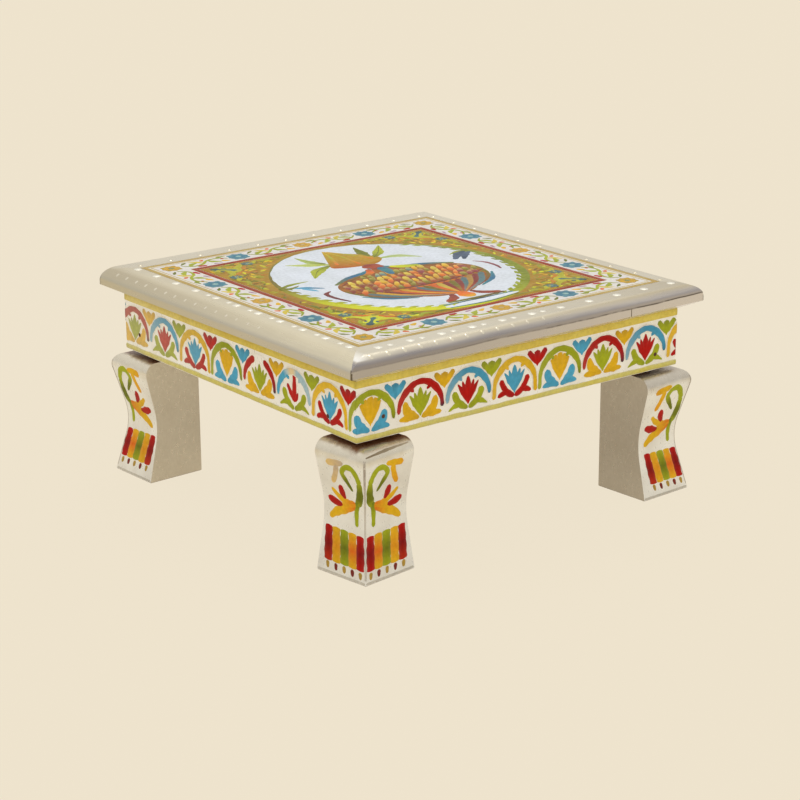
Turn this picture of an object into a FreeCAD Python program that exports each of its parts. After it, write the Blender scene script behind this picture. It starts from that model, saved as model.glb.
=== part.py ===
import FreeCAD, Part
import math
import os

# A low square table: a moulded board on a painted apron and four S-curved legs, all clad in thin white metal.
# Millimetres, +Z up. The origin is on the floor under the middle of the board, and the front faces -Y.
# Corners and sides are made once and turned into place, counter-clockwise seen from above.

# Overall size
table_side = 304.8
table_height = 152.4

# Heights of the layers under the top face. The legs take what is left.
slab_thickness = 18.8
apron_height = 41.2
leg_gap = 3.1

# Moulded edge of the board, measured on the metal. Front and back are rolled round tightly, and the left and
# right sides in a wide, low roll.
nose_radius = 6.4
nose_flat = 6.4
side_roll_width = 15.0
side_roll_height = 9.4
rim_overhang = 12.8

# Metal on the board
rim_sheet = 0.6
rim_face_width = 21.4
panel_seam = 0.2

# Embossed bosses along the rim. Each side has its inset and its shift along the side, as shares of the
# rim face's width and of the pitch.
boss_diameter = 4.0
boss_height = 0.5
boss_pitch = 25.5
boss_end_margin = 18.0
dome_sides = 8
dome_shoulder_shares = (0.6, 0.6)
boss_place_shares = {
    "front": (0.63, 0.24),
    "right": (0.84, 0.0),
    "back": (0.73, 0.0),
    "left": (0.84, -0.04),
}

# Painted ribbon round the apron, with an arcade in low relief
ribbon_sheet = 0.6
ribbon_fold = 6.0
ribbon_relief = 0.3
ribbon_seam = 0.3
seam_share = 0.72
stripe_edge = 0.5
top_stripe_width = 4.2
low_stripe_width = 3.4
arch_pitch = 39.75
arch_gap = 1.05
arch_crown_width = 4.4
arch_foot_width = 2.0
arch_top_drop = 7.1
arch_start = 11.5

# Wooden frame under the board. The corner blocks reach past the legs' inner faces by their ledge.
rail_thickness = 12.0
block_ledge = 14.0

# Legs: an S-curve on both outer faces, flat inner faces
leg_width = 45.0
leg_setback = 4.4
waist_depth = 7.4
waist_height_share = 0.46
waist_radius = 60.0
waist_radius_share = 0.9
knee_radius = 8.5
leg_sheet = 0.5
sheath_lip = 5.5
sheath_floor_gap = 0.4

# How far each hand-set leg is turned on its dowel, seen from above
leg_yaw_degrees = {"back_right": 0.0, "back_left": 2.5, "front_left": 8.0, "front_right": 3.5}

# Fastenings: round dowels, and cut nails with square shanks
dowel_diameter = 10.0
dowel_length = 40.0
dowel_end_gap = 0.5
nail_fit = 0.05
dowel_fit = 0.05
rail_nail_width = 1.8
rail_nail_tip_gap = 0.6
rail_nail_head_diameter = 3.4
rail_nail_head_height = 0.7
rail_nail_head_room = 0.2
board_nail_width = 2.4
board_nail_length = 40.0
board_nail_head_width = 5.0
board_nail_head_height = 1.2

# Where each side's two rail nails go: along the corner block from its outer face, and up the apron,
# as shares of the block's width and of the apron's height
nail_place_shares = {
    "front": ((0.23, 0.34), (0.19, 0.27)),
    "right": ((0.20, 0.32), (0.20, 0.32)),
    "back": ((0.20, 0.32), (0.20, 0.32)),
    "left": ((0.15, 0.33), (0.47, 0.26)),
}
board_nail_share = 0.6

# How far cutting shapes run past what they cut
overrun = 1.0

# Places worked out from the sizes above
nose_out = table_side / 2
apron_out = nose_out - rim_overhang
rail_out = apron_out - ribbon_sheet
rail_in = rail_out - rail_thickness
panel_half = nose_out - rim_face_width
apron_top = table_height - slab_thickness
apron_bottom = apron_top - apron_height
rail_bottom = apron_bottom + ribbon_sheet
leg_top = apron_bottom - leg_gap
nose_bottom = table_height - nose_radius - nose_flat
apron_length = 2 * apron_out
leg_out = nose_out - leg_setback
leg_in = leg_out - leg_width
block_in = leg_in - block_ledge
block_width = rail_in - block_in
waist_height = waist_height_share * leg_top
dowel_place = (leg_in + rail_in) / 2
rail_nail_length = apron_out - dowel_place - dowel_diameter / 2 - rail_nail_tip_gap

V = FreeCAD.Vector
UP = V(0, 0, 1)
SIDES = ["front", "right", "back", "left"]
CORNERS = ["back_right", "back_left", "front_left", "front_right"]


def turned(shape, quarters):
    """A copy turned counter-clockwise about the middle of the table by quarter turns."""
    copy = shape.copy()
    copy.rotate(V(), UP, 90 * quarters)
    return copy


def box(low, high):
    """An upright block between two opposite corners."""
    return Part.makeBox(*(high - low), low)


def square_block(half, low, high):
    """A square block round the middle of the table."""
    return box(V(-half, -half, low), V(half, half, high))


def square_ring(outer, inner, low, high):
    """A square frame round the middle of the table, open inside."""
    return square_block(outer, low, high).cut(square_block(inner, low, high))


def upright_bar(place, half, low, high):
    """A square bar standing at (x, y)."""
    x, y = place
    return box(V(x - half, y - half, low), V(x + half, y + half, high))


def quarter_roll(start, width, height):
    """The edge's roll from a flat top over and down to upright: a wide arc that runs into a tight one."""
    share = math.sqrt(0.5)
    tight = (share * height - (1 - share) * width) / (2 * share - 1)
    wide = (width - (1 - share) * tight) / share
    slant = V(share, 0, share)
    centre = start - UP * wide
    meeting = centre + slant * wide
    inner = meeting - slant * tight
    eighth = math.pi / 8
    wide_middle = centre + V(math.sin(eighth), 0, math.cos(eighth)) * wide
    tight_middle = inner + V(math.cos(eighth), 0, math.sin(eighth)) * tight
    end = inner + V(tight, 0, 0)
    return [Part.Arc(start, wide_middle, meeting).toShape(), Part.Arc(meeting, tight_middle, end).toShape()]


def edge_section(inset, roll_width, roll_height):
    """Half of the board's section in the XZ plane, its moulded edge lying this far inside the metal's face."""
    chamfer_angle = math.atan2(nose_bottom - apron_top, rim_overhang)
    lip_rise = inset * math.tan((math.pi / 2 - chamfer_angle) / 2)
    foot_shift = inset / math.sin(chamfer_angle)
    top = table_height - inset
    out = nose_out - inset
    roll_start = V(nose_out - roll_width, 0, top)
    roll_end = V(out, 0, table_height - roll_height)
    roll = quarter_roll(roll_start, roll_width - inset, roll_height - inset)
    lip = V(out, 0, nose_bottom + lip_rise)
    foot = V(apron_out - foot_shift, 0, apron_top)
    edges = [
        Part.makeLine(V(0, 0, top), roll_start),
        *roll,
        Part.makeLine(roll_end, lip),
        Part.makeLine(lip, foot),
        Part.makeLine(foot, V(0, 0, apron_top)),
        Part.makeLine(V(0, 0, apron_top), V(0, 0, top)),
    ]
    return Part.Face(Part.Wire(edges))


def mitre_sector():
    """The wedge of space that belongs to the right side, between its two 45 degree mitres."""
    reach = nose_out + overrun
    points = [V(0, 0, 0), V(reach, -reach, 0), V(reach, reach, 0), V(0, 0, 0)]
    return Part.Face(Part.makePolygon(points)).extrude(UP * (table_height + overrun + boss_height))


def moulded_run(inset, roll_width, roll_height):
    """The board's whole section, moulded on its left and right, run across the table from front to back."""
    half = edge_section(inset, roll_width, roll_height)
    half.translate(V(0, -nose_out - overrun, 0))
    half = half.extrude(V(0, 2 * (nose_out + overrun), 0))
    return half.fuse(turned(half, 2)).removeSplitter()


def moulded_board(inset):
    """The board as the planer leaves it: what the run from side to side and the run from front to back share."""
    sides = moulded_run(inset, side_roll_width, side_roll_height)
    ends = moulded_run(inset, nose_radius, nose_radius)
    return sides.common(turned(ends, 1))


def top_board():
    """The wooden board, moulded all round and countersunk for its nails."""
    return moulded_board(rim_sheet).cut(board_nails(nail_fit))


def low_dome(place, radius, across, outward):
    """A low faceted dome on a flat face: a steep ring of facets, then a flatter point."""
    sideways = outward.cross(across)
    height = outward.Length

    def ring(radius_share, height_share):
        centre = place + outward * height_share
        corners = []
        for step in range(dome_sides + 1):
            turn = 2 * math.pi * step / dome_sides
            corners.append(
                centre
                + across * (radius * radius_share * math.cos(turn))
                + sideways * (radius / height * radius_share * math.sin(turn))
            )
        return Part.makePolygon(corners)

    tip = Part.Vertex(place + outward)
    return Part.makeLoft([ring(1, 0), ring(*dome_shoulder_shares), tip], True, True)


def rim_metal():
    """The metal round the board's whole edge, open in the middle for the panel."""
    opening = square_block(panel_half + panel_seam, 0, table_height + overrun)
    return moulded_board(0).cut([moulded_board(rim_sheet), opening])


def rim_sheet_side(side, quarter, metal):
    """One side of the bent metal sheet that covers the board's edge, with its row of bosses."""
    sheet = turned(metal, 1 - quarter).common(mitre_sector())
    inset_share, shift_share = boss_place_shares[side]
    across = nose_out - inset_share * rim_face_width
    steps = int((table_side / 2 - boss_end_margin) / boss_pitch)
    bosses = []
    for step in range(-steps, steps + 1):
        place = V(across, (step + shift_share) * boss_pitch, table_height)
        bosses.append(low_dome(place, boss_diameter / 2, V(1, 0, 0), UP * boss_height))
    return turned(sheet.fuse(bosses).common(mitre_sector()), quarter - 1)


def board_nails(clearance=0.0):
    """The nails that hold the board on the rails, two to a rail, with sunk heads under the metal."""
    head_top = table_height - rim_sheet
    across = (rail_out + rail_in) / 2
    nails = []
    for quarter in range(4):
        for end in (-1, 1):
            place = (across, end * board_nail_share * rail_in)
            low = head_top - board_nail_length
            shank = upright_bar(place, board_nail_width / 2 + clearance, low, head_top)
            head_low = head_top - board_nail_head_height
            head = upright_bar(place, board_nail_head_width / 2 + clearance, head_low, head_top)
            nails.append(turned(shank.fuse(head).removeSplitter(), quarter))
    return Part.makeCompound(nails)


def nail_places(side):
    """The two places of a side's rail nails, as (along the side, height)."""
    first, last = nail_place_shares[side]
    return [
        (-(rail_in - first[0] * block_width), apron_bottom + first[1] * apron_height),
        (rail_in - last[0] * block_width, apron_bottom + last[1] * apron_height),
    ]


def rail_nails(clearance=0.0, head_room=0.0):
    """The nails driven through ribbon and rails into the corner blocks, with domed heads outside."""
    half = rail_nail_width / 2 + clearance
    nails = []
    for quarter, side in enumerate(SIDES):
        for along, height in nail_places(side):
            place = V(along, -apron_out, height)
            shank = box(place - V(half, 0, half), place + V(half, rail_nail_length, half))
            head = nail_head(place, head_room)
            nails.append(turned(shank.fuse(head).removeSplitter(), quarter))
    return Part.makeCompound(nails)


def nail_head(place, room):
    """A low dome standing off the front, or the square seat that leaves room about it."""
    radius = rail_nail_head_diameter / 2
    if room:
        half = radius + room
        return box(place - V(half, rail_nail_head_height + overrun, half), place + V(half, 0, half))
    return low_dome(place, radius, V(1, 0, 0), V(0, -rail_nail_head_height, 0))


def rail(quarter):
    """One apron rail. Front and back run full length, and the sides fit between them."""
    half = rail_out if quarter % 2 == 0 else rail_in
    bar = turned(box(V(-half, -rail_out, rail_bottom), V(half, -rail_in, apron_top)), quarter)
    return bar.cut([board_nails(nail_fit), rail_nails(nail_fit)])


def corner_block(quarter):
    """One wooden block in a corner of the frame. It stands proud below the rails, and the leg seats on it."""
    block = box(V(block_in, block_in, leg_top), V(rail_in, rail_in, apron_top))
    return turned(block, quarter).cut([rail_nails(nail_fit), leg_dowels(dowel_fit, dowel_end_gap)])


def leg_dowels(clearance=0.0, end_gap=0.0):
    """The four dowels between legs and corner blocks."""
    reach = dowel_length / 2 + end_gap
    foot = V(dowel_place, dowel_place, leg_top - reach)
    dowel = Part.makeCylinder(dowel_diameter / 2 + clearance, 2 * reach, foot, UP)
    return Part.makeCompound([turned(dowel, quarter) for quarter in range(4)])


def leg_section(inset):
    """A leg's section in the XZ plane, this far inside its outer shape.

    The outer side runs from the foot up a straight flare to the hollow waist, out along a second flare
    and over the round knee. Both flares are tangents, so each angle follows from the circles' places."""
    knee = V(leg_out - knee_radius, 0, leg_top - knee_radius)
    low_limit = (waist_height**2 + waist_depth**2) / (2 * waist_depth)
    high_limit = ((knee.z - waist_height) ** 2 + waist_depth**2) / (2 * waist_depth) - knee_radius
    radius = min(waist_radius, waist_radius_share * min(low_limit, high_limit))
    waist = V(leg_out - waist_depth + radius, 0, waist_height)

    to_foot = V(waist.x - leg_out, 0, waist.z)
    low_angle = math.atan2(to_foot.z, to_foot.x) - math.acos(radius / to_foot.Length)
    low_normal = V(math.cos(low_angle), 0, math.sin(low_angle))

    to_knee = waist - knee
    high_angle = -math.atan2(to_knee.z, to_knee.x) - math.acos((radius + knee_radius) / to_knee.Length)
    high_normal = V(math.cos(high_angle), 0, -math.sin(high_angle))

    top = leg_top - inset
    inner_low = V(leg_in + inset, 0, 0)
    inner_top = V(leg_in + inset, 0, top)
    knee_top = V(knee.x, 0, top)
    knee_end = knee + high_normal * (knee_radius - inset)
    halfway = (V(0, 0, 1) + high_normal).normalize()
    knee_mid = knee + halfway * (knee_radius - inset)
    waist_start = waist - high_normal * (radius + inset)
    waist_mid = waist - V(radius + inset, 0, 0)
    waist_end = waist - low_normal * (radius + inset)
    foot = V(leg_out - inset / math.cos(low_angle), 0, 0)
    edges = [
        Part.makeLine(inner_low, inner_top),
        Part.makeLine(inner_top, knee_top),
        Part.Arc(knee_top, knee_mid, knee_end).toShape(),
        Part.makeLine(knee_end, waist_start),
        Part.Arc(waist_start, waist_mid, waist_end).toShape(),
        Part.makeLine(waist_end, foot),
        Part.makeLine(foot, inner_low),
    ]
    return Part.Face(Part.Wire(edges))


def leg_form(inset):
    """The leg's solid: the same section run both ways, so its curved faces meet at a sharp outer ridge."""
    section = leg_section(inset)
    one_way = section.extrude(V(0, leg_out + overrun, 0))
    other_way = section.mirror(V(), V(1, -1, 0)).extrude(V(leg_out + overrun, 0, 0))
    return one_way.common(other_way)


def leg_skin():
    """The metal round a leg, down to the floor, folded over the knee and open above the dowel."""
    skin = leg_form(0).cut(leg_form(leg_sheet))
    open_low = leg_in + leg_sheet
    open_high = leg_out - knee_radius - sheath_lip
    opening = box(V(open_low, open_low, leg_top - leg_sheet), V(open_high, open_high, leg_top + overrun))
    return skin.cut(opening)


def set_leg(shape, quarter):
    """Turns a leg's piece on its dowel by its own small angle, then into its corner."""
    copy = shape.copy()
    copy.rotate(V(dowel_place, dowel_place, 0), UP, leg_yaw_degrees[CORNERS[quarter]])
    return turned(copy, quarter)


def leg_core(quarter):
    """The wooden leg inside its metal, with the hole for its dowel."""
    return set_leg(leg_form(0).cut(leg_skin()), quarter).cut(leg_dowels(dowel_fit, dowel_end_gap))


def leg_sheath(quarter):
    """The metal round a leg, clear of the floor."""
    reach = leg_out + overrun
    floor_strip = box(V(0, 0, -overrun), V(reach, reach, sheath_floor_gap))
    return set_leg(leg_skin().cut(floor_strip), quarter)


def arch():
    """One arch of the arcade, centred on the front face at x = 0 with its crown at the arcade's top."""
    outer = (arch_pitch - arch_gap) / 2
    inner = outer - arch_foot_width
    spring = apron_top - arch_top_drop - outer
    crown = spring + outer
    inner_crown = crown - arch_crown_width
    face_y = -apron_out

    def at(x, z):
        return V(x, face_y, z)

    edges = [
        Part.Arc(at(-outer, spring), at(0, crown), at(outer, spring)).toShape(),
        Part.makeLine(at(outer, spring), at(inner, spring)),
        Part.Arc(at(inner, spring), at(0, inner_crown), at(-inner, spring)).toShape(),
        Part.makeLine(at(-inner, spring), at(-outer, spring)),
    ]
    return Part.Face(Part.Wire(edges)).extrude(V(0, -ribbon_relief, 0))


def arcade():
    """The arches all round. They keep one pitch along the strip, which starts and ends at its seam."""
    strip_end = (2 + seam_share) * apron_length
    strip_start = strip_end - 4 * apron_length
    first = math.ceil((strip_start - arch_start - arch_pitch / 2) / arch_pitch)
    last = math.floor((strip_end - arch_start + arch_pitch / 2) / arch_pitch)
    pieces = []
    for span in range(-2, 3):
        origin = span * apron_length + apron_out
        span_start = max(origin - apron_out, strip_start)
        span_end = min(origin + apron_out, strip_end)
        reach = apron_out + ribbon_relief
        limits = box(
            V(span_start - origin, -reach, apron_bottom), V(span_end - origin, -rail_out, apron_top)
        )
        for step in range(first, last + 1):
            centre = arch_start + step * arch_pitch
            if span_start - arch_pitch / 2 < centre < span_end + arch_pitch / 2:
                piece = arch()
                piece.translate(V(centre - origin, 0, 0))
                piece = piece.common(limits)
                if piece.Solids:
                    pieces.append(turned(piece, span % 4))
    return pieces


def apron_ribbon():
    """The painted strip bent round the apron and folded under the rails, with stripes and arches raised."""
    skin = square_ring(apron_out, rail_out, apron_bottom, apron_top)
    fold = square_ring(apron_out, apron_out - ribbon_fold, apron_bottom, rail_bottom)
    raised = apron_out + ribbon_relief
    stripe_top = apron_top - stripe_edge
    stripe_low = apron_bottom + stripe_edge
    top_stripe = square_ring(raised, rail_out, stripe_top - top_stripe_width, stripe_top)
    low_stripe = square_ring(raised, rail_out, stripe_low, stripe_low + low_stripe_width)
    ribbon = skin.fuse([fold, top_stripe, low_stripe, *arcade()]).removeSplitter()
    seam_x = apron_out - seam_share * apron_length
    slot = box(
        V(seam_x, rail_in, apron_bottom - overrun),
        V(seam_x + ribbon_seam, raised + overrun, apron_top + overrun),
    )
    return ribbon.cut([slot, rail_nails(nail_fit, rail_nail_head_room)])


def top_panel():
    """The painted metal panel let in between the rim sheets."""
    return square_block(panel_half, table_height - rim_sheet, table_height)


def write(name, shape):
    """Writes one piece, or one group of like pieces."""
    shape.exportStep(os.path.join("parts", name + ".step"))


def main():
    os.makedirs("parts", exist_ok=True)
    write("top_board", top_board())
    write("top_panel", top_panel())
    write("apron_ribbon", apron_ribbon())
    write("board_nails", board_nails())
    write("rail_nails", rail_nails())
    write("leg_dowels", leg_dowels())
    metal = rim_metal()
    for quarter, side in enumerate(SIDES):
        write("rim_sheet_" + side, rim_sheet_side(side, quarter, metal))
        write("rail_" + side, rail(quarter))
    for quarter, corner in enumerate(CORNERS):
        write("corner_block_" + corner, corner_block(quarter))
        write("leg_core_" + corner, leg_core(quarter))
        write("leg_sheath_" + corner, leg_sheath(quarter))


main()
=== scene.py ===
import math
import random

import bpy
import numpy as np
from mathutils import Matrix, Vector, noise
from mathutils.bvhtree import BVHTree


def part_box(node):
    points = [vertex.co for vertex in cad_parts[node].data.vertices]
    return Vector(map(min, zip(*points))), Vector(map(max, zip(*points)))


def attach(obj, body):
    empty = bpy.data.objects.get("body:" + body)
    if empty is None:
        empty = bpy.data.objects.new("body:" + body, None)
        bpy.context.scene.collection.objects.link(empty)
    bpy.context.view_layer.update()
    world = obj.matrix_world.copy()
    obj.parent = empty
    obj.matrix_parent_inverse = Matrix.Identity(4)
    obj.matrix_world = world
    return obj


# The looks of the low table: raised enamel strokes on its metal, and the finish of each surface.
# Painted places are in millimetres on the surface that carries them, and MM turns them into metres.

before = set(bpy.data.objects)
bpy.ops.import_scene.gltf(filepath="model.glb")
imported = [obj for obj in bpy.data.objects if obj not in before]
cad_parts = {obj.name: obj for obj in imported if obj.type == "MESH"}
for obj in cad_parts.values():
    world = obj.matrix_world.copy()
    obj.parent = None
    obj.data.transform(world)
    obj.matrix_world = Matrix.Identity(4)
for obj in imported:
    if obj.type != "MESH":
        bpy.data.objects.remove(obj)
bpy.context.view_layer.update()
MM = 0.001
QUARTER = math.pi / 2

# What the frame says, in millimetres
PANEL_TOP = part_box("top_panel")[1].z / MM
RIBBON_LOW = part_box("apron_ribbon")[0].z / MM
RIBBON_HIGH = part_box("apron_ribbon")[1].z / MM
NOSE_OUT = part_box("rim_sheet_right")[1].x / MM
TABLE_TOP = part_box("rim_sheet_right")[1].z / MM

# Relief of the ribbon in the frame
RIBBON_RELIEF = 0.3
APRON_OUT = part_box("apron_ribbon")[1].x / MM - RIBBON_RELIEF
STRIP_SIDE = 2 * APRON_OUT
DOWEL_RADIUS = 5.0
DOWEL_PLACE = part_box("leg_dowels")[1].x / MM - DOWEL_RADIUS

# The arcade of the frame: pitch, place of one arch after the front-left corner, and its two circles
ARCH_PITCH = 39.75
ARCH_START = 11.5
ARCH_OUTER = 19.35
ARCH_TOP_DROP = 7.1
SPRING = RIBBON_HIGH - ARCH_TOP_DROP - ARCH_OUTER
SEAM_SHARE = 0.72


def linear(red, green, blue):
    """A colour in linear light from its 8-bit screen values."""
    return tuple(((c / 255 + 0.055) / 1.055) ** 2.4 for c in (red, green, blue))


def mixed(one, other, share):
    """A colour part of the way from one to the other."""
    return tuple(a + (b - a) * share for a, b in zip(one, other))


RED = linear(182, 18, 10)
DARK_RED = linear(134, 14, 12)
ORANGE = linear(222, 108, 26)
AMBER = linear(226, 178, 30)
YELLOW = linear(214, 192, 66)
LEMON = linear(212, 214, 40)
LIME = linear(164, 172, 32)
OLIVE = linear(112, 118, 22)
BLUE = linear(78, 164, 200)
DEEP_BLUE = linear(46, 104, 140)
TEAL = linear(66, 130, 134)
NAVY = linear(42, 52, 66)
MAROON = linear(128, 50, 40)
RUST = linear(164, 70, 34)
GOLD_BROWN = linear(180, 146, 66)
FIELD_OLIVE = linear(182, 146, 36)
WHITE = linear(226, 224, 220)
DISC_WHITE = linear(222, 228, 238)
CREAM = linear(226, 221, 203)
MAUVE = linear(176, 136, 160)


# Shader helpers


class Shader:
    """Adds nodes to one material or world. An input is a plain value or another node's output."""

    def __init__(self, owner):
        self.owner = owner
        owner.use_nodes = True
        self.tree = owner.node_tree
        self.surface = self.tree.nodes.get("Principled BSDF")

    def add(self, kind, inputs, **settings):
        node = self.tree.nodes.new("ShaderNode" + kind)
        for key, value in settings.items():
            setattr(node, key, value)
        self.fill(node, inputs)
        return node

    def fill(self, node, inputs):
        for key, value in inputs.items():
            socket = node.inputs[key]
            if isinstance(value, bpy.types.NodeSocket):
                self.tree.links.new(value, socket)
            else:
                socket.default_value = (*value, 1) if socket.type == "RGBA" else value

    def coordinates(self, kind="Object"):
        return self.add("TexCoord", {}).outputs[kind]

    def parts(self, vector):
        """A vector's three numbers."""
        return self.add("SeparateXYZ", {0: vector}).outputs

    def noise(self, scale, detail, stretch=(1, 1, 1)):
        """Noise over the object in metres, stretched by a scale on each axis."""
        place = self.add("Mapping", {"Vector": self.coordinates(), "Scale": stretch}).outputs[0]
        return self.add("TexNoise", {"Vector": place, "Scale": scale, "Detail": detail}).outputs["Fac"]

    def ranged(self, value, low, high, to_low, to_high):
        inputs = {0: value, 1: low, 2: high, 3: to_low, 4: to_high}
        return self.add("MapRange", inputs).outputs[0]

    def cloud(self, scale, detail, middle, spread, stretch=(1, 1, 1)):
        """Noise whose middle values are spread over a range."""
        return self.ranged(self.noise(scale, detail, stretch), *middle, *spread)

    def mix(self, share, one, other):
        inputs = {"Factor": share, 6: one, 7: other}
        return self.add("Mix", inputs, data_type="RGBA").outputs[2]

    def maths(self, operation, one, other=0.0):
        return self.add("Math", {0: one, 1: other}, operation=operation).outputs[0]

    def times(self, product, *others):
        for other in others:
            product = self.maths("MULTIPLY", product, other)
        return product

    def dot(self, one, other):
        return self.add("VectorMath", {0: one, 1: other}, operation="DOT_PRODUCT").outputs["Value"]

    def bump(self, height, distance, strength, below=None):
        inputs = {"Height": height, "Distance": distance, "Strength": strength}
        if below is not None:
            inputs["Normal"] = below
        return self.add("Bump", inputs).outputs[0]

    def dress(self, colour, rough, normal, metallic=0.0):
        """Fills the surface's main sockets and returns the material."""
        inputs = {"Base Color": colour, "Roughness": rough, "Normal": normal, "Metallic": metallic}
        self.fill(self.surface, inputs)
        return self.owner


def material_shader(name):
    return Shader(bpy.data.materials.new(name))


ENAMEL_GLOSS = {"Specular IOR Level": 0.06, "Coat Weight": 0.02, "Coat Roughness": 0.12}


def enamel_material():
    """Hand-laid glossy paint. The strokes carry its colour, and it pools and thins a little."""
    shader = material_shader("enamel")
    paint = shader.add("Attribute", {}, attribute_name="paint").outputs["Color"]
    pool = shader.cloud(420, 3, (0.3, 0.7), (0.9, 1.07))
    grain = shader.cloud(1600, 2, (0.25, 0.75), (0.98, 1.02))
    tone = shader.times(pool, grain)
    colour = shader.add("VectorMath", {0: paint, "Scale": tone}, operation="SCALE").outputs[0]
    rough = shader.cloud(300, 3, (0.3, 0.7), (0.3, 0.46))
    shader.fill(shader.surface, ENAMEL_GLOSS)
    return shader.dress(colour, rough, shader.bump(shader.noise(500, 3), 0.0001, 0.3))


def metal_finish(shader, colour, dark, scratch_stretch):
    """White metal: a soft satin sheen with fine scratches, faint dents and cloudy tarnish."""
    tint = shader.mix(shader.cloud(24, 3, (0.4, 0.8), (0.0, 0.3)), colour, dark)
    scratch = shader.noise(520, 2, scratch_stretch)
    tint = shader.mix(shader.ranged(scratch, 0.35, 0.65, 0.0, 0.14), tint, dark)
    rough = shader.ranged(scratch, 0.3, 0.7, 0.26, 0.38)
    dents = shader.bump(shader.noise(60, 2), 0.0004, 0.3)
    return tint, rough, shader.bump(scratch, 0.00002, 0.4, dents)


METAL = linear(226, 218, 198)
# The left rim sheet: a slightly darker, warmer copy of the metal, as painted shade
LEFT_SHADED_METAL = linear(225, 215, 188)
# Darker metal for tarnish and scratches, and also for the rims' painted shade
METAL_TARNISH_AND_SHADE = linear(190, 178, 152)
# The front nose's painted dark reflection, and the dark line of the sheet's lap
METAL_DARK_REFLECTION = linear(157, 151, 151)
METAL_LAP = linear(70, 60, 50)
# A painted highlight at the near end of the front roll
METAL_PAINTED_HIGHLIGHT = linear(255, 253, 248)
# Paler metal for the bosses on the near sides, as a painted highlight
BOSS_HIGHLIGHT_METAL = linear(246, 242, 228)
BARE_METALLIC = 0.9
# A rim sheet's painted light: which way its shade grows and how much, its nose's shade at the near and far
# end, and its underside's floor reflection
FAR_NOSE_SHADE = linear(196, 190, 180)
UNDERSIDE_PAINTED_LIGHT = linear(213, 205, 196)
FRONT_RIM_LIGHT = ((1, 0, 0), 0.85, linear(184, 177, 170), linear(213, 206, 200), linear(236, 232, 240))
LEFT_RIM_LIGHT = ((0, 1, 0), 0.3, linear(200, 193, 178), linear(198, 190, 168), UNDERSIDE_PAINTED_LIGHT)
BACK_RIM_LIGHT = ((-1, 0, 0), 0.3, FAR_NOSE_SHADE, FAR_NOSE_SHADE, UNDERSIDE_PAINTED_LIGHT)
RIGHT_RIM_LIGHT = ((0, -1, 0), 0.3, FAR_NOSE_SHADE, FAR_NOSE_SHADE, UNDERSIDE_PAINTED_LIGHT)
# The pale ground under the paint, where it is thick and thin: on the ribbon and on the legs
RIBBON_GROUND = (linear(248, 246, 240), linear(226, 220, 206))
LEG_GROUND = (linear(240, 238, 230), linear(212, 206, 194))
# A darker copy of the bare metal for the near right leg, as painted shade
LEG_METAL = (linear(226, 218, 200), linear(190, 178, 156))
SHADED_LEG_METAL = (linear(204, 196, 182), linear(170, 160, 140))
# How far along the rim its painted light runs, each way from the middle
RIM_REACH = 0.13

# The painted dark reflection along the front sheet's nose: the heights between which it is darkest, how
# softly it starts and fades above, how its edges sway, how much the lower one climbs to the right, and the
# half width of the lap
NOSE_REFLECTION_LOW = 144.8 * MM
NOSE_REFLECTION_HIGH = 147.4 * MM
NOSE_REFLECTION_START = (NOSE_REFLECTION_LOW - 0.6 * MM, NOSE_REFLECTION_LOW + 0.4 * MM)
NOSE_REFLECTION_FADE = 3.4 * MM
NOSE_REFLECTION_SWAY = (-0.5 * MM, 0.5 * MM)
NOSE_REFLECTION_STREAK = (-1.2 * MM, 1.2 * MM)
NOSE_REFLECTION_CLIMB = 0.6 * MM
LAP_HALF = 0.75 * MM
# The painted highlight on the end of the roll at the near corner: where along the sheet it fades out, and the
# heights between which it starts
HIGHLIGHT_ENDS = (-146 * MM, -136 * MM)
HIGHLIGHT_START = (149.6 * MM, 150.4 * MM)


def painted_nose_reflection(shader, tint, scratch_stretch):
    """A painted dark reflection in a band along the nose. It starts sharply at the sheet's dark lap and fades
    upward in streaks, and the roll's near end gets a painted highlight."""
    across, _, height = shader.parts(shader.coordinates())
    sway = shader.cloud(30, 2, (0.3, 0.7), NOSE_REFLECTION_SWAY, (1, 0.1, 0.1))
    streak = shader.cloud(260, 4, (0.3, 0.7), NOSE_REFLECTION_STREAK, scratch_stretch)
    above = shader.maths("ADD", height, shader.maths("ADD", sway, streak))
    fade = shader.ranged(above, NOSE_REFLECTION_HIGH, NOSE_REFLECTION_HIGH + NOSE_REFLECTION_FADE, 1.0, 0.0)
    climb = shader.ranged(across, -RIM_REACH, RIM_REACH, 0.0, -NOSE_REFLECTION_CLIMB)
    low = shader.maths("ADD", shader.maths("ADD", height, sway), climb)
    start = shader.ranged(low, *NOSE_REFLECTION_START, 0.0, 1.0)
    share = shader.times(fade, start, shader.ranged(across, -0.1, 0.1, 1.0, 0.7))
    tint = shader.mix(share, tint, METAL_DARK_REFLECTION)
    off_lap = shader.maths("ABSOLUTE", shader.maths("SUBTRACT", low, NOSE_REFLECTION_LOW))
    lap = shader.ranged(off_lap, 0.0, LAP_HALF, 1.0, 0.0)
    stronger = shader.ranged(across, -0.12, 0.1, 0.3, 1.0)
    lap = shader.times(lap, stronger, shader.cloud(90, 3, (0.35, 0.55), (0.3, 1.0)))
    tint = shader.mix(lap, tint, METAL_LAP)
    painted_highlight = shader.ranged(across, *HIGHLIGHT_ENDS, 0.9, 0.0)
    painted_highlight = shader.times(painted_highlight, shader.ranged(height, *HIGHLIGHT_START, 0.0, 1.0))
    return shader.mix(painted_highlight, tint, METAL_PAINTED_HIGHLIGHT)


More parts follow.
